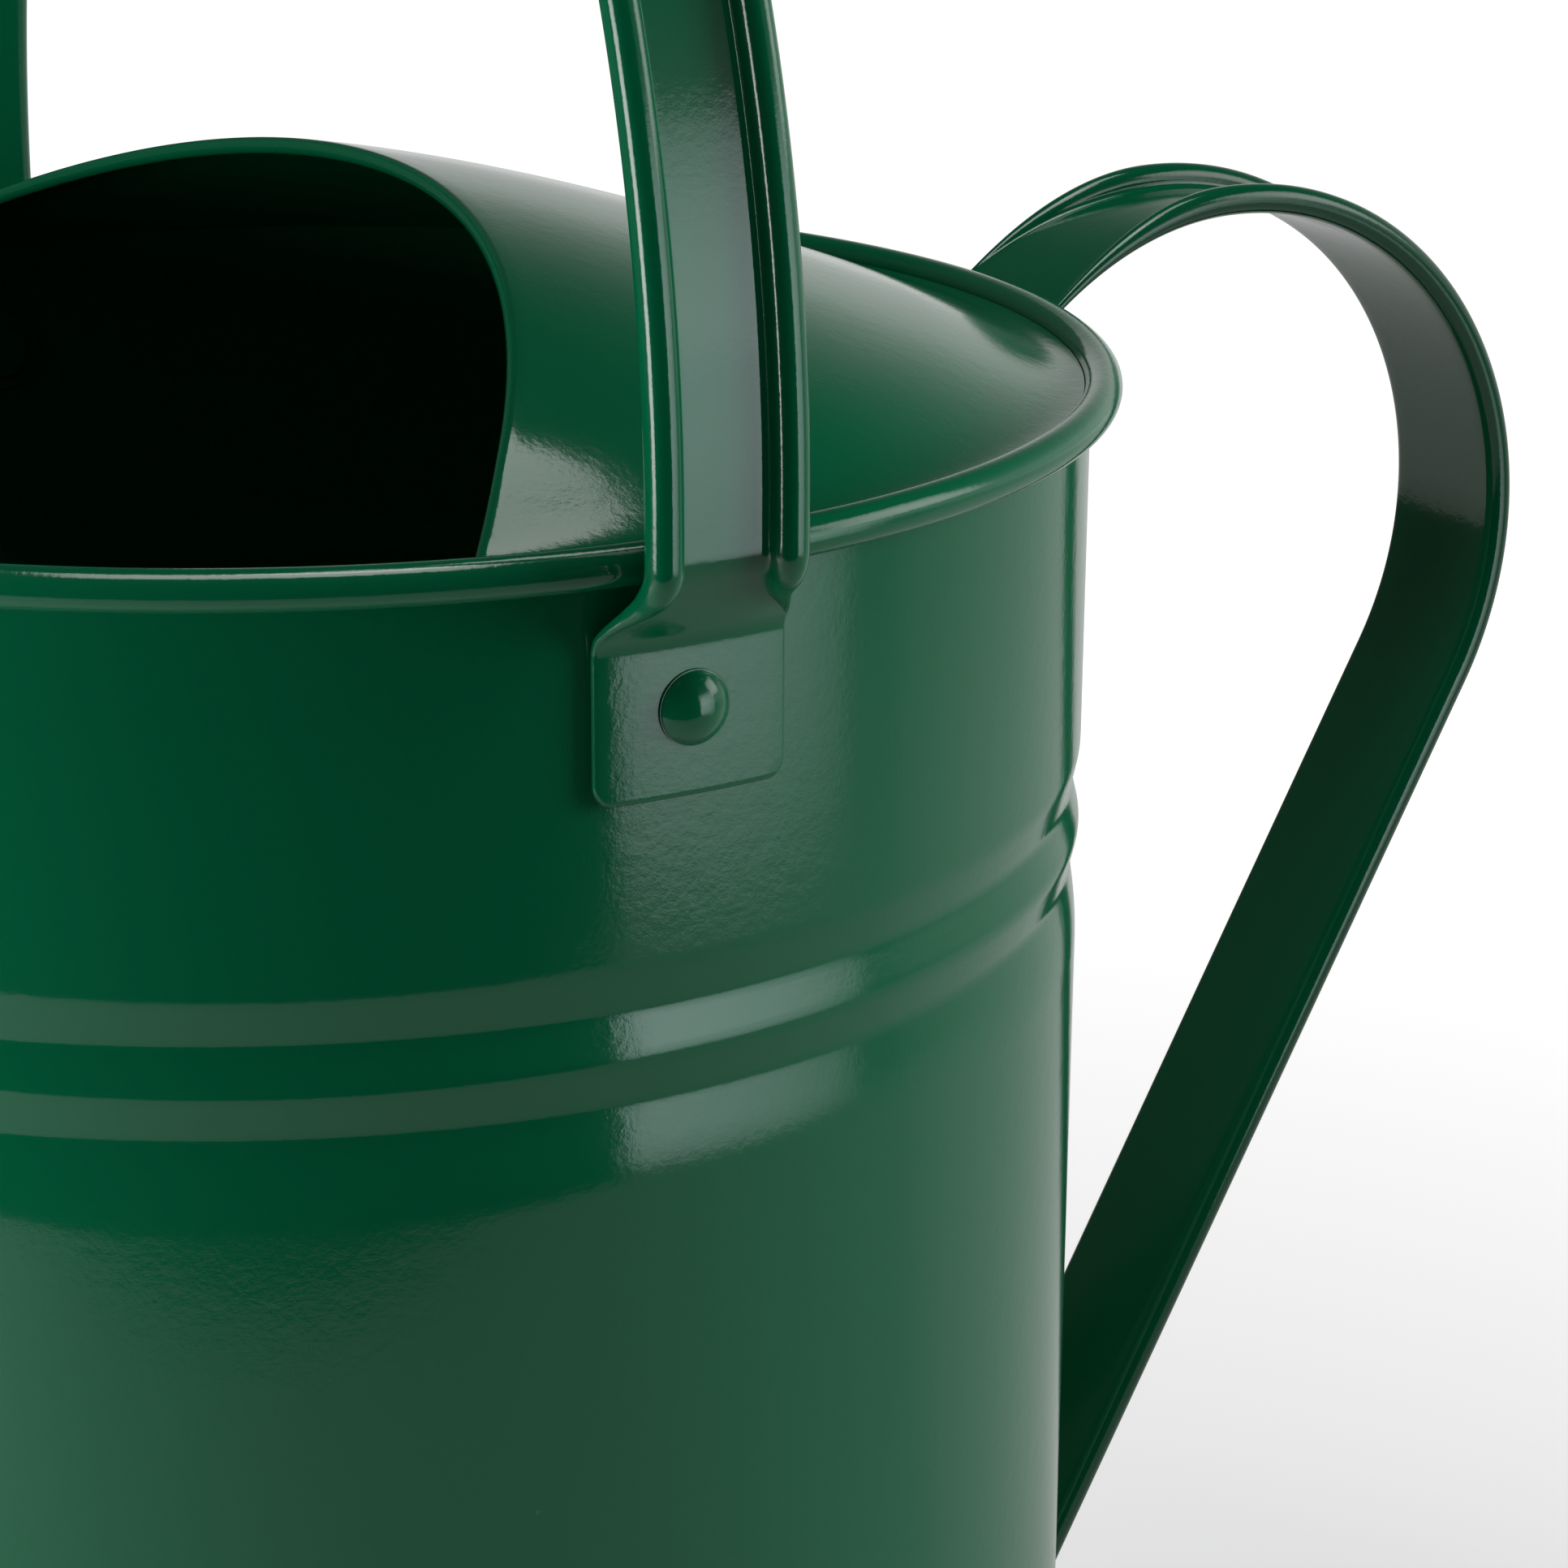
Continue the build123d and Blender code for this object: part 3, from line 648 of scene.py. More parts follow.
# %% Path of the carry handle
RIVET = RIM - 17.9
carry_bend = RIVET + 8.5
joggle_top = carry_bend + 9.2
spring = RIVET + TAB_ABOVE + 17.8
leg_mid = CURL_MIDDLE + CURL + 2.3 + STRAP / 2
JOGGLE_EASE = 1.4
SIDE_RADIUS = 170.6
SIDE_TURN = math.radians(38.2)
top_radius = (leg_mid - SIDE_RADIUS * (1 - math.cos(SIDE_TURN))) / math.cos(SIDE_TURN)
arch_middle = spring + (SIDE_RADIUS - top_radius) * math.sin(SIDE_TURN)


def bow(middle, radius, start, stop, count):
    """Points on an arc about a middle, between two angles."""
    return [(middle[0] + radius * math.cos(a), middle[1] + radius * math.sin(a))
            for a in np.linspace(start, stop, count)]


tab_end = RIVET - TAB_BELOW
foot = [(TAB_MID, tab_end + s) for s in TAB_STARTS]
joggle = [(TAB_MID, tab_end + 3.2), (TAB_MID, carry_bend), (leg_mid, joggle_top), (leg_mid, spring)]
step = dense(eased(joggle, JOGGLE_EASE), 0.4)
sides = bow((leg_mid - SIDE_RADIUS, spring), SIDE_RADIUS, 0, SIDE_TURN, 50)[1:]
over = bow((0, arch_middle), top_radius, SIDE_TURN, math.pi / 2, 50)[1:]
carry_path = np.vstack([foot, step, sides, over])
print("carry handle", round(2 * run_along(carry_path)[-1]), "mm of strap")

# %% Carry handle
CARRY_WIDTH = 20.4
CARRY_TAB = 25.1
run = run_along(carry_path)
bend_run = carry_bend - tab_end
half, roll, web = tab_shape(
    run, CARRY_TAB, CARRY_WIDTH, bend_run + 0.5, bend_run + 8.0, bend_run + 1.0, bend_run + 12.5)
wrap = 1 - smooth(run, bend_run - 1, bend_run + 9)
near = strap_rings(carry_path, half, roll, web, wrap, -1)
far = near[-2::-1, :, :] * (1, -1, 1)
carry = skin("carry_strap", np.concatenate([near, far]), around=True, caps=True)
dress(carry, "carry_handle")

# %% [markdown]
# ### Rear handle
# Behind the can the strap loops out level with the rim, then runs straight down and in to a second tab.
# Its path is arcs joined by straight runs, as a strap is bent over formers. The angle of the lower bend
# follows from where the run leaves the loop and meets the bend, so a change to any radius keeps the
# path smooth.

# %% Path of the rear handle
REAR_TOP = RIM - 16.1
REAR_FOOT = 41.1
LOOP = 53.2
BEND = 12.0
LEAVE = math.radians(43.2)
bend_middle = TAB_MID + BEND
loop_out = bend_middle + (LOOP - BEND) * math.cos(LEAVE)
loop_up = REAR_TOP - (LOOP - BEND) * math.sin(LEAVE)
foot_out, foot_up = loop_out - bend_middle, loop_up - REAR_FOOT
foot_turn = math.atan2(foot_out, foot_up) + math.asin((LOOP + BEND) / math.hypot(foot_out, foot_up))

tab_span = TAB_ABOVE + TAB_BELOW
tab_runs = np.array([*TAB_STARTS, *np.linspace(3.3, tab_span, 20)])
upper_tab = [(TAB_MID, REAR_TOP - tab_span + s) for s in tab_runs]
lower_tab = [(TAB_MID, REAR_FOOT - tab_span + s) for s in tab_runs[::-1]]
upper_bend = bow((bend_middle, REAR_TOP), BEND, math.pi, math.pi - LEAVE, 16)[1:]
loop = bow((loop_out, loop_up), LOOP, math.pi - LEAVE, -foot_turn, 120)[1:]
lower_bend = bow((bend_middle, REAR_FOOT), BEND, math.pi - foot_turn, math.pi, 16)
run_down = dense([loop[-1], lower_bend[0]], 3.0)[1:]
rear_path = np.vstack([upper_tab, upper_bend, loop, run_down, lower_bend[1:], lower_tab[1:]])
print("rear handle", round(run_along(rear_path)[-1]), "mm of strap")

# %% Rear handle
REAR_WIDTH = 24.9
REAR_TAB = 28.9
NARROWING = 8
UPPER_FADE, LOWER_FADE = 36, 8
run = run_along(rear_path)
back = run[-1] - run
upper_clear = tab_span + BEND * LEAVE + LOOP * math.radians(6)
lower_clear = tab_span + BEND * foot_turn
narrow = (tab_span, tab_span + NARROWING)
upper = tab_shape(run, REAR_TAB, REAR_WIDTH, *narrow, upper_clear, upper_clear + UPPER_FADE)
lower = tab_shape(back, REAR_TAB, REAR_WIDTH, *narrow, lower_clear, lower_clear + LOWER_FADE)
half, roll, web = np.minimum(upper, lower)
wrap = 1 - smooth(np.minimum(run, back), tab_span - 2, tab_span + NARROWING)
rings = strap_rings(rear_path, half, roll, web, wrap, 1)
rings = np.stack([-rings[..., 1], rings[..., 0], rings[..., 2]], -1)
rear_strap = skin("rear_strap", rings, around=True, caps=True)
dress(rear_strap, "rear_handle")

# %% [markdown]
# ## Rivets and washers
# One domed rivet holds each tab. It was painted with the can, so a thin fillet of paint rounds its
# edge. Inside the wall its tail is formed over a washer. A rivet is a turned shape, so one profile
# serves every size of grip.

# %% Profile of a rivet
HEAD, HEAD_HIGH, SHANK, TAIL, TAIL_HIGH = 4.5, 2.4, 2.4, 3.8, 1.2
WASHER, WASHER_THICK, PLAY = 6.0, 1.0, 0.05
FACE = SEAT + STRAP
sag = INSIDE - math.sqrt(INSIDE ** 2 - WASHER ** 2)
stack = FACE - INSIDE + sag + PLAY
wall_grip = stack + WASHER_THICK + PLAY
ball = (HEAD ** 2 + HEAD_HIGH ** 2) / (2 * HEAD_HIGH)
DOME_SHARE = 0.97
PAINT_FOOT = 0.12


def rivet_line(grip):
    """Profile of a rivet whose head sits at height 0."""
    angles = np.linspace(0, math.asin(HEAD / ball) * DOME_SHARE, 26)
    dome = np.stack([ball * np.sin(angles), HEAD_HIGH - ball + ball * np.cos(angles)], -1)
    foot = [(HEAD + PAINT_FOOT, 1.5 * PAINT_FOOT), (HEAD - PLAY, 0.0), (SHANK, 0.0)]
    tail = [(SHANK, -grip), (TAIL, -grip), (TAIL, -grip - TAIL_HIGH), (0, -grip - TAIL_HIGH)]
    return np.vstack([dome[:-1], eased([dome[-1], *foot, *tail], 0.25, steps=4)])


print("head", 2 * HEAD, "mm across, grip", round(wall_grip, 2), "mm")

# %% Rivets
BRACE_BEND = RIM - 25.0
BRACE_TAB = 20.0
carry_spots = [facing((0, s * FACE, RIVET), (0, s, 0)) for s in (1, -1)]
rear_spots = [facing((-FACE, 0, level - TAB_ABOVE), (-1, 0, 0)) for level in (REAR_TOP, REAR_FOOT)]
brace_spot = facing((FACE, 0, BRACE_BEND - BRACE_TAB / 2), (1, 0, 0))
carry_rivets = turned("carry_rivets", rivet_line(wall_grip), carry_spots, closed=False)
dress(carry_rivets, "carry_handle_rivets")
rear_rivets = turned("rear_rivets", rivet_line(wall_grip), rear_spots, closed=False)
dress(rear_rivets, "rear_handle_rivets")

# %% Washers
washer_bore = SHANK + PLAY
washer_line = eased([
    (washer_bore, 0), (WASHER, 0), (WASHER, -WASHER_THICK), (washer_bore, -WASHER_THICK)], 0.2, closed=True)
inward = Matrix.Translation((0, 0, -stack))
washers = {
    "carry_handle_washers": carry_spots, "rear_handle_washers": rear_spots, "brace_washers": [brace_spot]}
for node, spots in washers.items():
    name = node.replace("handle_", "")
    dress(turned(name, washer_line, [spot @ inward for spot in spots]), node)

# %% [markdown]
# ## Spout
# The spout lies outside the photo, so it follows cans of this kind: a long cone from low on the wall, a
# flange where it meets the wall, and a short straight neck. On the bench the cone is cut to the wall
# before it is soldered on. Here each line along the cone starts where it meets the round wall, found by
# halving the distance.

# %% Lines of the spout
NECK_RADIUS = 11.0
SPOUT_LENGTH = 300.0
NECK_END = 322.0
TAPER = (NECK_RADIUS - SPOUT_ROOT_RADIUS) / SPOUT_LENGTH
turn = np.linspace(0, 2 * math.pi, 128, endpoint=False)
around_spout = np.array([SPOUT_UPPER * math.cos(a) + Vector((0, math.sin(a), 0)) for a in turn])


def cone_radius(reach):
    """Radius of the spout's cone at a reach along its axis."""
    return SPOUT_ROOT_RADIUS + TAPER * reach


def on_spout(reach, radius):
    """Points round the spout's axis, at a reach and a radius for each."""
    return np.array(SPOUT_ROOT) + np.outer(reach, SPOUT_ALONG) + around_spout * np.reshape(radius, (-1, 1))


def reach_wall(beside, wall_radius):
    """How far along the spout each line beside its cone meets a round wall."""
    low, high = np.full(len(turn), -80.0), np.full(len(turn), 80.0)
    for _ in range(40):
        middle = (low + high) / 2
        spots = on_spout(middle, cone_radius(middle) + beside)
        beyond = np.hypot(spots[:, 0], spots[:, 1]) > wall_radius
        low, high = np.where(beyond, low, middle), np.where(beyond, middle, high)
    return (low + high) / 2


root = reach_wall(0.0, SEAT)
print("spout meets the wall from", round(root.min(), 1), "to", round(root.max(), 1), "mm along its axis")

# %% Spout tube
rows = []
for t in np.linspace(0, 1, 60):
    reach = root + (SPOUT_LENGTH - root) * t
    rows.append(on_spout(reach, cone_radius(reach)))
for reach in np.linspace(SPOUT_LENGTH + 4, NECK_END, 4):
    rows.append(on_spout(np.full(len(turn), reach), NECK_RADIUS))
spout = skin("spout", rows, around=True)
sheet_metal(spout, SHEET, outward=False)
dress(spout, "spout_tube")

# %% [markdown]
# ### Spout collar
# A flange closes the joint between spout and wall. It is a narrow ring of sheet that lies on the wall
# and turns up onto the cone in a small fillet of solder. Its section is swept round the joint: each
# point of the section says how far beside the cone it lies and how far up it.

# %% Spout collar
COLLAR = 8.0
COLLAR_SHEET = 1.0
COLLAR_EDGE = 0.35
FILLET_FROM, FILLET = 3.0, 2.8
COLLAR_PLAY = 0.1
section = [(COLLAR, -COLLAR_SHEET), (COLLAR, -COLLAR_EDGE), (COLLAR - COLLAR_EDGE, 0)]
section += [(s, 0) for s in np.linspace(COLLAR - 1, FILLET_FROM, 6)]
section += [(FILLET_FROM - FILLET * math.sin(a), FILLET * (1 - math.cos(a)))
            for a in np.linspace(0.1, math.pi / 2, 8)]
section += [(COLLAR_PLAY, 2.0), (COLLAR_PLAY, -COLLAR_SHEET)]
rows = []
for beside, lift in section:
    reach = reach_wall(beside, SEAT + COLLAR_SHEET + min(lift, 0)) + max(lift, 0)
    rows.append(on_spout(reach, cone_radius(reach) + beside))
collar = skin("spout_flange", rows, around=True, along=True)
dress(collar, "spout_collar")

# %% [markdown]
# ### Ferrule
# A turned sleeve on the neck gives the rose something true to grip, and its ring stops the rose. It is
# a closed profile turned about the spout's axis.

# %% Ferrule on the neck
FERRULE_BORE = NECK_RADIUS + GAP
FERRULE = FERRULE_BORE + 1.1
STOP = FERRULE + 2.2
STOP_TOP = SPOUT_LENGTH + 2.0
FERRULE_END = SPOUT_LENGTH + 34.0
ferrule_line = eased([
    (FERRULE_BORE, SPOUT_LENGTH), (STOP, SPOUT_LENGTH), (STOP, STOP_TOP), (FERRULE, STOP_TOP),
    (FERRULE, FERRULE_END), (FERRULE_BORE, FERRULE_END)], 0.5, closed=True)
dress(turned("spout_neck_ring", ferrule_line, [SPOUT_FRAME]), "spout_ferrule")

# %% [markdown]
# ### Brace
# A flat strap ties the spout to the wall, so that a full can doesn't tear its root. It runs level from
# a tab on the wall to a tab bent along the spout. Where it meets the spout follows from its height and
# the cone's taper.

# %% Path of the brace
taper = math.atan2(SPOUT_ROOT_RADIUS - NECK_RADIUS, SPOUT_LENGTH)
lift = (GAP + STRAP / 2) / math.cos(taper)
climb = BRACE_BEND - SPOUT_ROOT.z - (SPOUT_ROOT_RADIUS + lift) * SPOUT_UPPER.z
brace_reach = climb / (SPOUT_ALONG.z - math.tan(taper) * SPOUT_UPPER.z)


def spout_top(reach, above):
    """Point (out, up) above the spout's upper side."""
    spot = SPOUT_ROOT + SPOUT_ALONG * reach + SPOUT_UPPER * (cone_radius(reach) + above)
    return spot.x, spot.z


BRACE_EASE = 3.0
corners = [(TAB_MID, BRACE_BEND - BRACE_TAB), (TAB_MID, BRACE_BEND), spout_top(brace_reach, lift),
           spout_top(brace_reach + BRACE_TAB, lift)]
brace_path = dense(eased(corners, BRACE_EASE), 0.8)
print("brace meets the spout", round(brace_reach), "mm along it")

# %% Brace
BRACE_HALF = 7.0
BRACE_CORNER = 2.0
run = run_along(brace_path)
ends = np.minimum(run, run[-1] - run)
webs = rounded_end(ends)
corner = np.clip(BRACE_CORNER - ends, 0, BRACE_CORNER)
halves = BRACE_HALF - BRACE_CORNER + np.sqrt(BRACE_CORNER ** 2 - corner ** 2)
rings = strap_rings(brace_path, halves, webs / 2, webs, 0 * webs, -1)
rings = np.stack([rings[..., 1], rings[..., 0], rings[..., 2]], -1)
dress(skin("brace", rings, around=True, caps=True), "spout_brace")

# %% [markdown]
# The brace's two rivets differ in grip: one goes through the wall and a washer, the other through the
# thin spout, whose inside is round. They are turned one by one and joined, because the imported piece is
# both.

# %% Brace rivets
lift = (GAP + STRAP) / math.cos(taper)
out, up = spout_top(brace_reach + BRACE_TAB / 2, lift)
spout_normal = SPOUT_UPPER * math.cos(taper) + SPOUT_ALONG * math.sin(taper)
spout_spot = facing((out, 0, up), spout_normal)
spout_grip = STRAP + GAP + SHEET + TAIL ** 2 / cone_radius(brace_reach + BRACE_TAB / 2)
pair = turned("brace_rivets_pair", rivet_line(wall_grip), [brace_spot], closed=False)
mate = turned("brace_rivets_mate", rivet_line(spout_grip), [spout_spot], closed=False)
shaped = bmesh.new()
shaped.from_mesh(pair.data)
shaped.from_mesh(mate.data)
shaped.to_mesh(pair.data)
shaped.free()
bpy.data.objects.remove(mate)
dress(pair, "brace_rivets")

# %% [markdown]
# ## Rose
# The rose pushes onto the neck over a rubber sleeve, which grips the ferrule and lets the rose turn.
# The sleeve sits between two lips inside the rose's socket. All of these are closed profiles turned
# about the spout's axis, and each takes its bore from the piece inside it and a clearance.

# %% Rubber sleeve
END_PLAY = 0.3
TURNED_EASE = 0.3
RUBBER_WALL = 1.5
sleeve_bore = FERRULE + PLAY
sleeve_out = sleeve_bore + RUBBER_WALL
sleeve_low = STOP_TOP + 4.0
sleeve_high = sleeve_low + 18.0
sleeve_line = eased([
    (sleeve_bore, sleeve_low), (sleeve_out, sleeve_low), (sleeve_out, sleeve_high),
    (sleeve_bore, sleeve_high)], TURNED_EASE, closed=True)
dress(turned("rubber_sleeve", sleeve_line, [SPOUT_FRAME]), "rose_sleeve", "sleeve", rubber)

# %% Socket of the rose
LIP = 1.0
UPPER_LIP = 2.5
socket_bore = sleeve_out + PLAY
socket_radius = socket_bore + SHEET
socket_low = STOP_TOP + END_PLAY
socket_high = socket_low + 38.0
lip_bore = socket_bore - LIP
lip_low, lip_high = sleeve_low - END_PLAY, sleeve_high + END_PLAY
socket_line = eased([
    (lip_bore, socket_low), (socket_radius, socket_low), (socket_radius, socket_high),
    (socket_bore, socket_high), (socket_bore, lip_high + UPPER_LIP), (lip_bore, lip_high + UPPER_LIP),
    (lip_bore, lip_high), (socket_bore, lip_high), (socket_bore, lip_low), (lip_bore, lip_low)],
    TURNED_EASE, closed=True)
dress(turned("rose_tube", socket_line, [SPOUT_FRAME]), "rose_socket", "rose")

# %% [markdown]
# The cone spreads the water to a domed face with many small holes, and a ring crimps the face to the
# cone. The face keeps its measured mesh, because its holes are real ones.

# %% Cone of the rose
ROSE = 40.0
CONE_RIM = 3.0
cone_bore = socket_radius + GAP
cone_out = cone_bore + SHEET
cone_low, cone_high = socket_high - 10.0, socket_high + 48.0
cone_top = cone_high + CONE_RIM
cone_line = eased([
    (cone_bore, cone_low), (cone_out, cone_low), (cone_out, socket_high), (ROSE, cone_high),
    (ROSE, cone_top), (ROSE - SHEET, cone_top), (ROSE - SHEET, cone_high), (cone_bore, socket_high)],
    TURNED_EASE, closed=True)
dress(turned("rose_funnel", cone_line, [SPOUT_FRAME], 160), "rose_cone", "rose")

# %% Ring and face of the rose
CROWN = 7.0
RING_SHEET = 1.0
RING_LIP = 2.5
face_ball = (ROSE ** 2 + CROWN ** 2) / (2 * CROWN)
face_middle = cone_top + GAP + CROWN - face_ball
lip_edge = ROSE - RING_LIP
lip_under = face_middle + SHEET + math.sqrt(face_ball ** 2 - lip_edge ** 2) + GAP
lip_over = lip_under + RING_SHEET
ring_bore = ROSE + GAP
ring_out = ring_bore + RING_SHEET
ring_line = eased([
    (ring_bore, cone_high), (ring_out, cone_high), (ring_out, lip_over), (lip_edge, lip_over),
    (lip_edge, lip_under), (ring_bore, lip_under)], 0.45, closed=True)
dress(turned("rose_ring", ring_line, [SPOUT_FRAME], 160), "rose_crimp", "rose")
refinish("rose_face", paint)

# %% [markdown]
# ## Studio
# A glossy can is only as good as what it mirrors. The photo shows a white table that ends in front of
# the can at a dark room, a pale backdrop behind it, and soft boxes at both sides and overhead. The
# table and the world are white to the camera and paler in mirrors, which the Light Path node tells
# apart.


# %% How white a backdrop looks
BLACK, WHITE = (0, 0, 0, 1), (1, 1, 1, 1)
BACKDROP = 0.65


def backdrop_white(flow, to_camera, in_mirrors):
    """One whiteness to the camera and through glass, and another in mirrors."""
    camera_ray = flow.node("ShaderNodeLightPath", out="Is Camera Ray")
    rays = camera_ray.socket.node.outputs
    direct = camera_ray + Flow(flow.tree, rays["Is Transmission Ray"])
    return direct * to_camera + Flow(flow.tree, rays["Is Glossy Ray"]) * in_mirrors


print("backdrop", BACKDROP, "in mirrors")

# %% [markdown]
# ### Table
# The table is a pale disc that takes the can's shadow. To the camera it glows to pure white a little
# way off, so it has no horizon. In mirrors it is dim near the can and brightens towards the backdrop.

# %% White table
NEAR_WHITE = 0.55
WHITE_FROM, WHITE_AT = 0.25, 0.75
TABLE = (0.5, 0.5, 0.5, 1)
AWAY = math.radians(241)
MIRROR_NEAR, MIRROR_FAR = 0.12, 3.0
table, flow, shader = finish_tree("white_table")
shader.inputs["Base Color"].default_value = TABLE
shader.inputs["Roughness"].default_value = 0.9
shader.inputs["Specular IOR Level"].default_value = 0.0
shader.inputs["Emission Strength"].default_value = 1.0
spot = flow.node("ShaderNodeTexCoord", out="Object")
apart = flow.node("ShaderNodeVectorMath", {"operation": "LENGTH"}, {0: spot}, out="Value")
behind = flow.node("ShaderNodeVectorMath", {"operation": "DOT_PRODUCT"}, {
    0: spot, 1: (math.cos(AWAY), math.sin(AWAY), 0)}, out="Value")
to_camera = flow.node("ShaderNodeMapRange", None, {
    "Value": apart, "From Min": WHITE_FROM, "From Max": WHITE_AT, "To Min": NEAR_WHITE, "To Max": 1.0})
in_mirrors = flow.node("ShaderNodeMapRange", None, {
    "Value": behind, "From Min": 0.0, "From Max": MIRROR_FAR}) ** 0.5 * BACKDROP + MIRROR_NEAR
feed(shader, Emission_Color=blend_colours(flow, backdrop_white(flow, to_camera, in_mirrors), BLACK, WHITE))
print("table nodes", len(flow.tree.nodes))

# %% Disc of the table
TABLE_RINGS = (0, 150, 400, 1000, 3000, 9000)
swing = np.linspace(0, 2 * math.pi, 96, endpoint=False)
discs = [np.stack([r * np.cos(swing), r * np.sin(swing), 0 * swing], -1) for r in TABLE_RINGS]
floor = skin("floor", discs, around=True)
floor.data.materials.append(table)
print("table", 2 * TABLE_RINGS[-1] * MM, "m across")

# %% [markdown]
# ### World
# The world gives a little even light from all round, and is white where the camera looks past the can.

# %% White world
FILL = 0.06
world = bpy.data.worlds.new("white_room")
bpy.context.scene.world = world
world.use_nodes = True
flow = Flow(world.node_tree)
background = world.node_tree.nodes["Background"]
background.inputs["Color"].default_value = WHITE
feed(background, Strength=backdrop_white(flow, 1 - FILL, BACKDROP - FILL) + FILL)
print("world fill", FILL)

# %% [markdown]
# ### Cloths
# Black cloths close the room in front and at the left, as a photographer hangs them so that glossy
# metal has something dark to mirror. They show only in reflections, so they neither block light nor
# stand in a view.


# %% Dark cloths
def cloth(name, rows, shade=0.0, around=False):
    """A cloth that shows in reflections and nowhere else, with its Flow and shader."""
    made, flow, shader = finish_tree(name)
    shader.inputs["Base Color"].default_value = BLACK
    shader.inputs["Specular IOR Level"].default_value = 0.0
    shader.inputs["Emission Strength"].default_value = 1.0
    shader.inputs["Emission Color"].default_value = (shade, shade, shade, 1)
    hung = skin(name, rows, around=around)
    hung.data.materials.append(made)
    hung.visible_camera = False
    hung.visible_diffuse = False
    hung.visible_shadow = False
    hung.visible_transmission = False
    print(name, len(hung.data.polygons), "faces")
    return flow, shader


TABLE_EDGE, EDGE_BEARING = 500, math.radians(61)
FRONT_HIGH, LEFT_HIGH = 700, 900
LEFT_OUT, LEFT_SHADE = 1000, 0.07
edge = np.array([math.cos(EDGE_BEARING), math.sin(EDGE_BEARING)])
along_edge = np.array([-edge[1], edge[0]])
ends = [edge * TABLE_EDGE + along_edge * beside for beside in (-700, 520)]
cloth("dark_front", [[(*end, h) for end in ends] for h in (1, FRONT_HIGH)])
side = np.radians(np.linspace(-112, 6, 40))
left_rows = [np.stack([LEFT_OUT * np.cos(side), LEFT_OUT * np.sin(side), 0 * side + h], -1)
             for h in (1, LEFT_HIGH)]
cloth("dark_left", left_rows, LEFT_SHADE)

# %% [markdown]
# ### Fading backdrop
# Above the pale backdrop the room is dark, and the hood mirrors that change as a soft fade. A dome of
# cloth does it: its glow falls from the backdrop's brightness at the bottom to almost nothing halfway
# up.

# %% Fading backdrop
CANOPY, CANOPY_MIDDLE = 1600, 280
FADE_FROM, FADE_TO = math.radians(10), math.radians(46)
FADE_POWER, DARKEST = 2.2, 0.02
swing = np.linspace(0, 2 * math.pi, 80, endpoint=False)
hoops = [np.stack([CANOPY * math.cos(t) * np.cos(swing), CANOPY * math.cos(t) * np.sin(swing),
                   0 * swing + CANOPY_MIDDLE + CANOPY * math.sin(t)], -1)
         for t in np.linspace(FADE_FROM, math.pi / 2, 40)]
flow, shader = cloth("fading_backdrop", hoops, around=True)
spot = flow.node("ShaderNodeTexCoord", out="Object")
height = flow.node("ShaderNodeSeparateXYZ", None, {0: spot}, out="Z")
low, high = [(CANOPY_MIDDLE + CANOPY * math.sin(angle)) * MM for angle in (FADE_FROM, FADE_TO)]
dim = flow.node("ShaderNodeMapRange", None, {"Value": height, "From Min": low, "From Max": high})
feed(shader, Emission_Color=blend_colours(flow, (1 - dim) ** FADE_POWER * BACKDROP + DARKEST, BLACK, WHITE))

# %% [markdown]
# ### Soft boxes
# Each soft box is an area lamp whose glow fades towards its edges, as the cloth front of a real one
# does, so its mirror image has no hard border. A box that only models the form is kept out of
# reflections, and one that is only there to be mirrored is kept out of the diffuse light.


# %% Soft box
AIM = Vector((0, 0, 0.22))


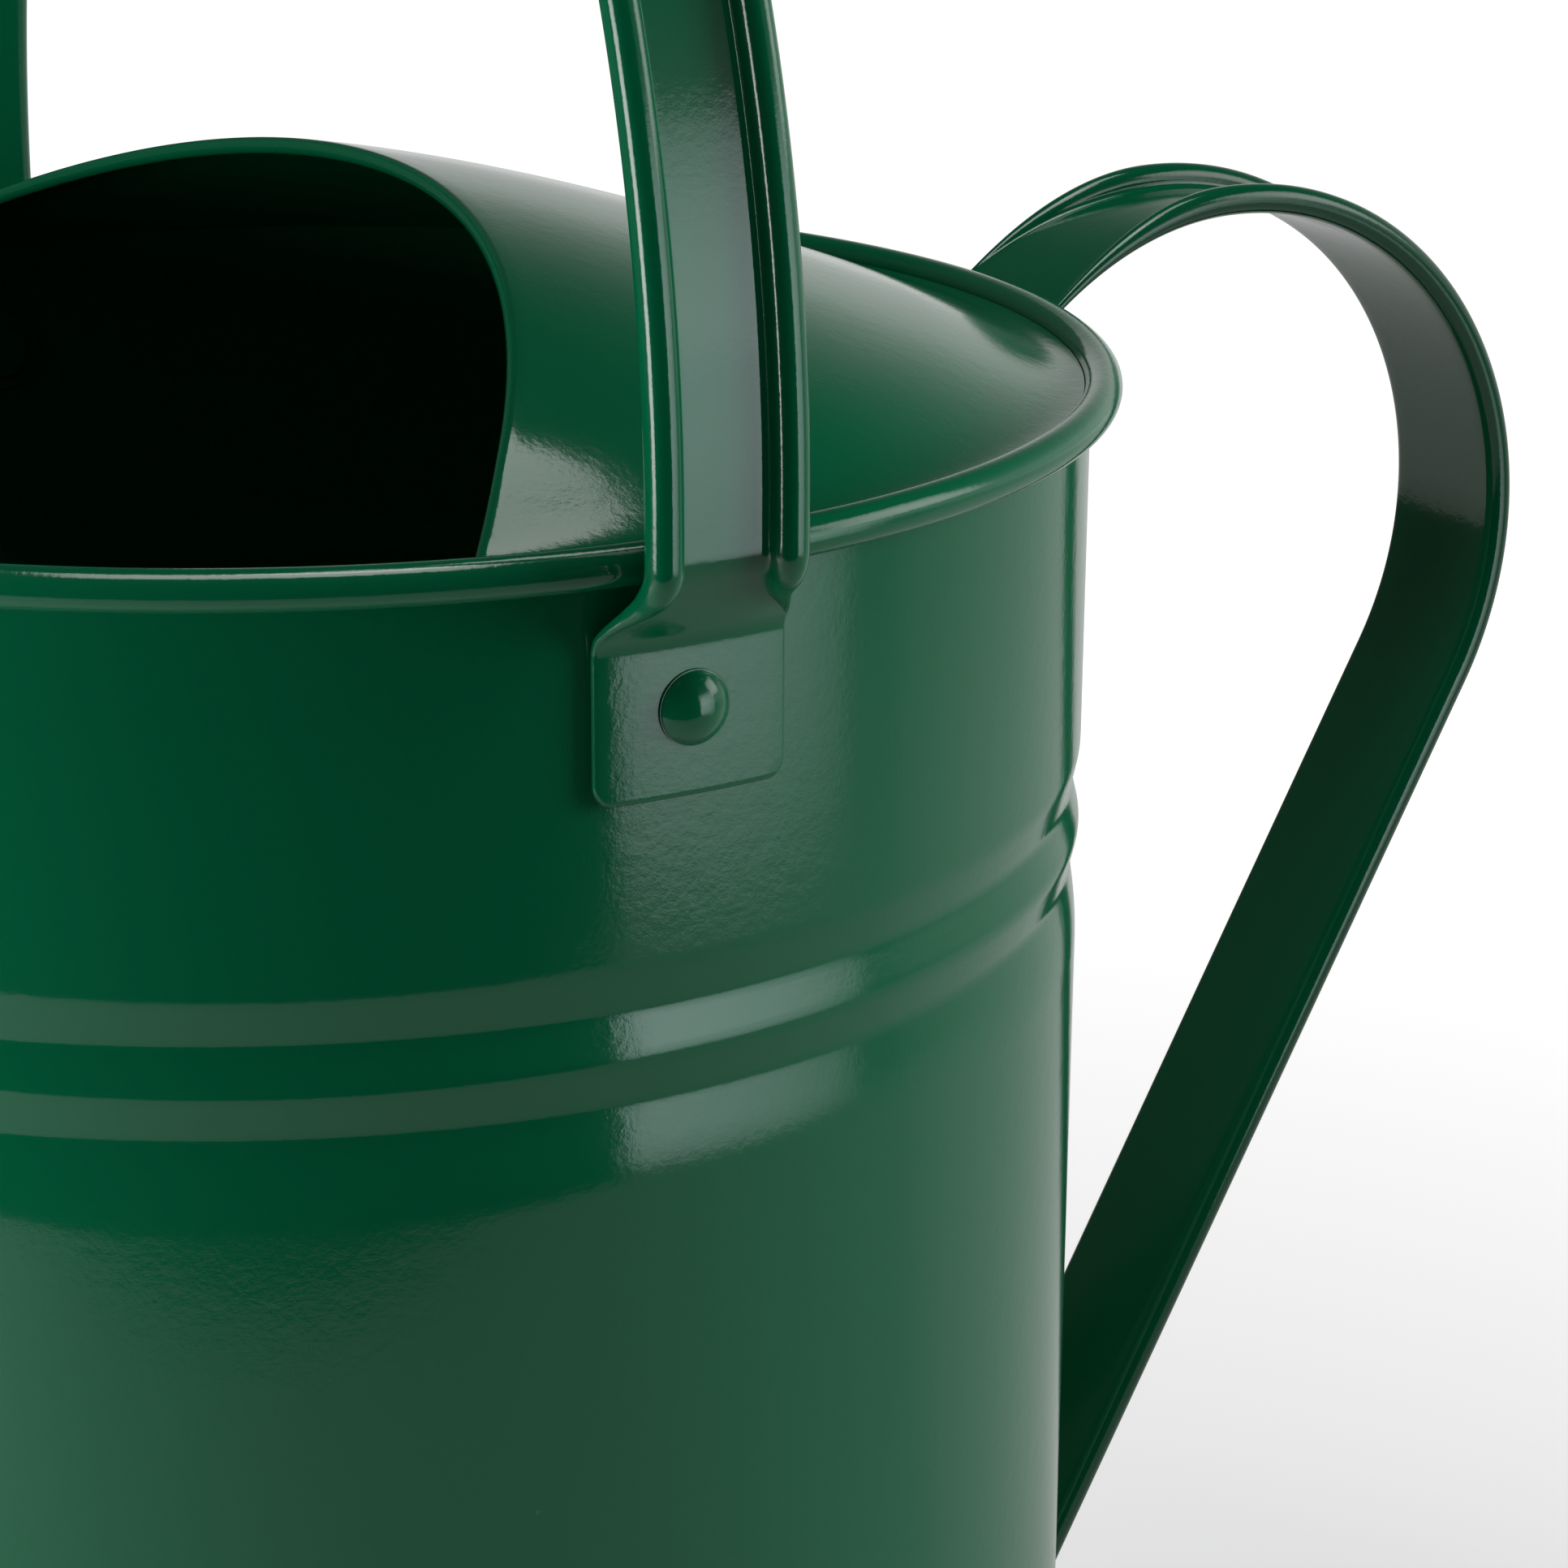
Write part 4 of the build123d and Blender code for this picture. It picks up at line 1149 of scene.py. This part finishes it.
def softbox(name, bearing, out, height, wide, high, brightness, edges=(0.5, 0.5, 0.5), colour=(1, 1, 1)):
    """A soft box that faces the can and fades towards its left, right and level edges."""
    lamp = bpy.data.lights.new(name, "AREA")
    lamp.shape = "RECTANGLE"
    lamp.size = wide * MM
    lamp.size_y = high * MM
    lamp.color = colour
    lamp.energy = 4 * wide * high * MM * MM * brightness
    lamp.use_nodes = True
    flow = Flow(lamp.node_tree)
    face = flow.node("ShaderNodeNewGeometry", out="Parametric")
    u = flow.node("ShaderNodeSeparateXYZ", None, {0: face}, out="X")
    v = flow.node("ShaderNodeSeparateXYZ", None, {0: face}, out="Y")
    first, last, level = edges
    fade = (u * 2) ** first * (2 - u * 2) ** last * (v * (1 - v) * 4) ** level
    feed(lamp.node_tree.nodes["Emission"], Strength=fade)
    holder = bpy.data.objects.new(name, lamp)
    bpy.context.scene.collection.objects.link(holder)
    turn = math.radians(bearing)
    holder.location = Vector((out * math.cos(turn), out * math.sin(turn), height)) * MM
    holder.rotation_euler = (AIM - holder.location).to_track_quat("-Z", "Y").to_euler()
    print(name, round(lamp.energy, 2), "W")
    return holder


def light_only(holder, name, pieces):
    """Let a lamp light only some pieces."""
    lit = bpy.data.collections.new(name)
    for piece in pieces:
        lit.objects.link(piece)
    holder.light_linking.receiver_collection = lit


# %% Boxes at the sides
COOL = (0.84, 1.0, 1.02)
right_box = softbox("right_box", 122, 660, 255, 480, 480, 2.1, (0.08, 0.6, 0.5), COOL)
right_box.visible_diffuse = False
right_key = softbox("right_key", 145, 700, 300, 400, 400, 6.4)
right_key.visible_glossy = False
light_only(right_key, "lit_by_key", (wall, hood, carry, carry_rivets))
softbox("right_high", 150, 850, 620, 480, 480, 2.6)
left_box = softbox("left_box", -10, 620, 180, 650, 320, 9.4)
left_box.visible_glossy = False

# %% Boxes overhead
EVEN, HARD = (0.2, 0.2, 0.2), (0.03, 0.03, 0.03)
softbox("top_box", 60, 120, 1450, 760, 600, 4.2, EVEN)
rear_card = softbox("rear_card", 206.7, 358, 1590, 400, 640, 2.7, HARD)
rear_card.visible_diffuse = False

# %% [markdown]
# ### Strip beside the handle
# A thin bright line runs up each bead of the carry handle. It is a strip light, flagged so that only
# the handle mirrors it.

# %% Strip beside the handle
handle_strip = softbox("handle_strip", 13, 610, 300, 260, 420, 8.0, (0.3, 0.3, 0.3))
handle_strip.visible_diffuse = False
light_only(handle_strip, "lit_by_strip", (carry,))

# %% [markdown]
# ## Finish
# The view transform is set to Standard, so a colour shows as it is written.

# %% Finish
bpy.context.scene.view_settings.view_transform = "Standard"
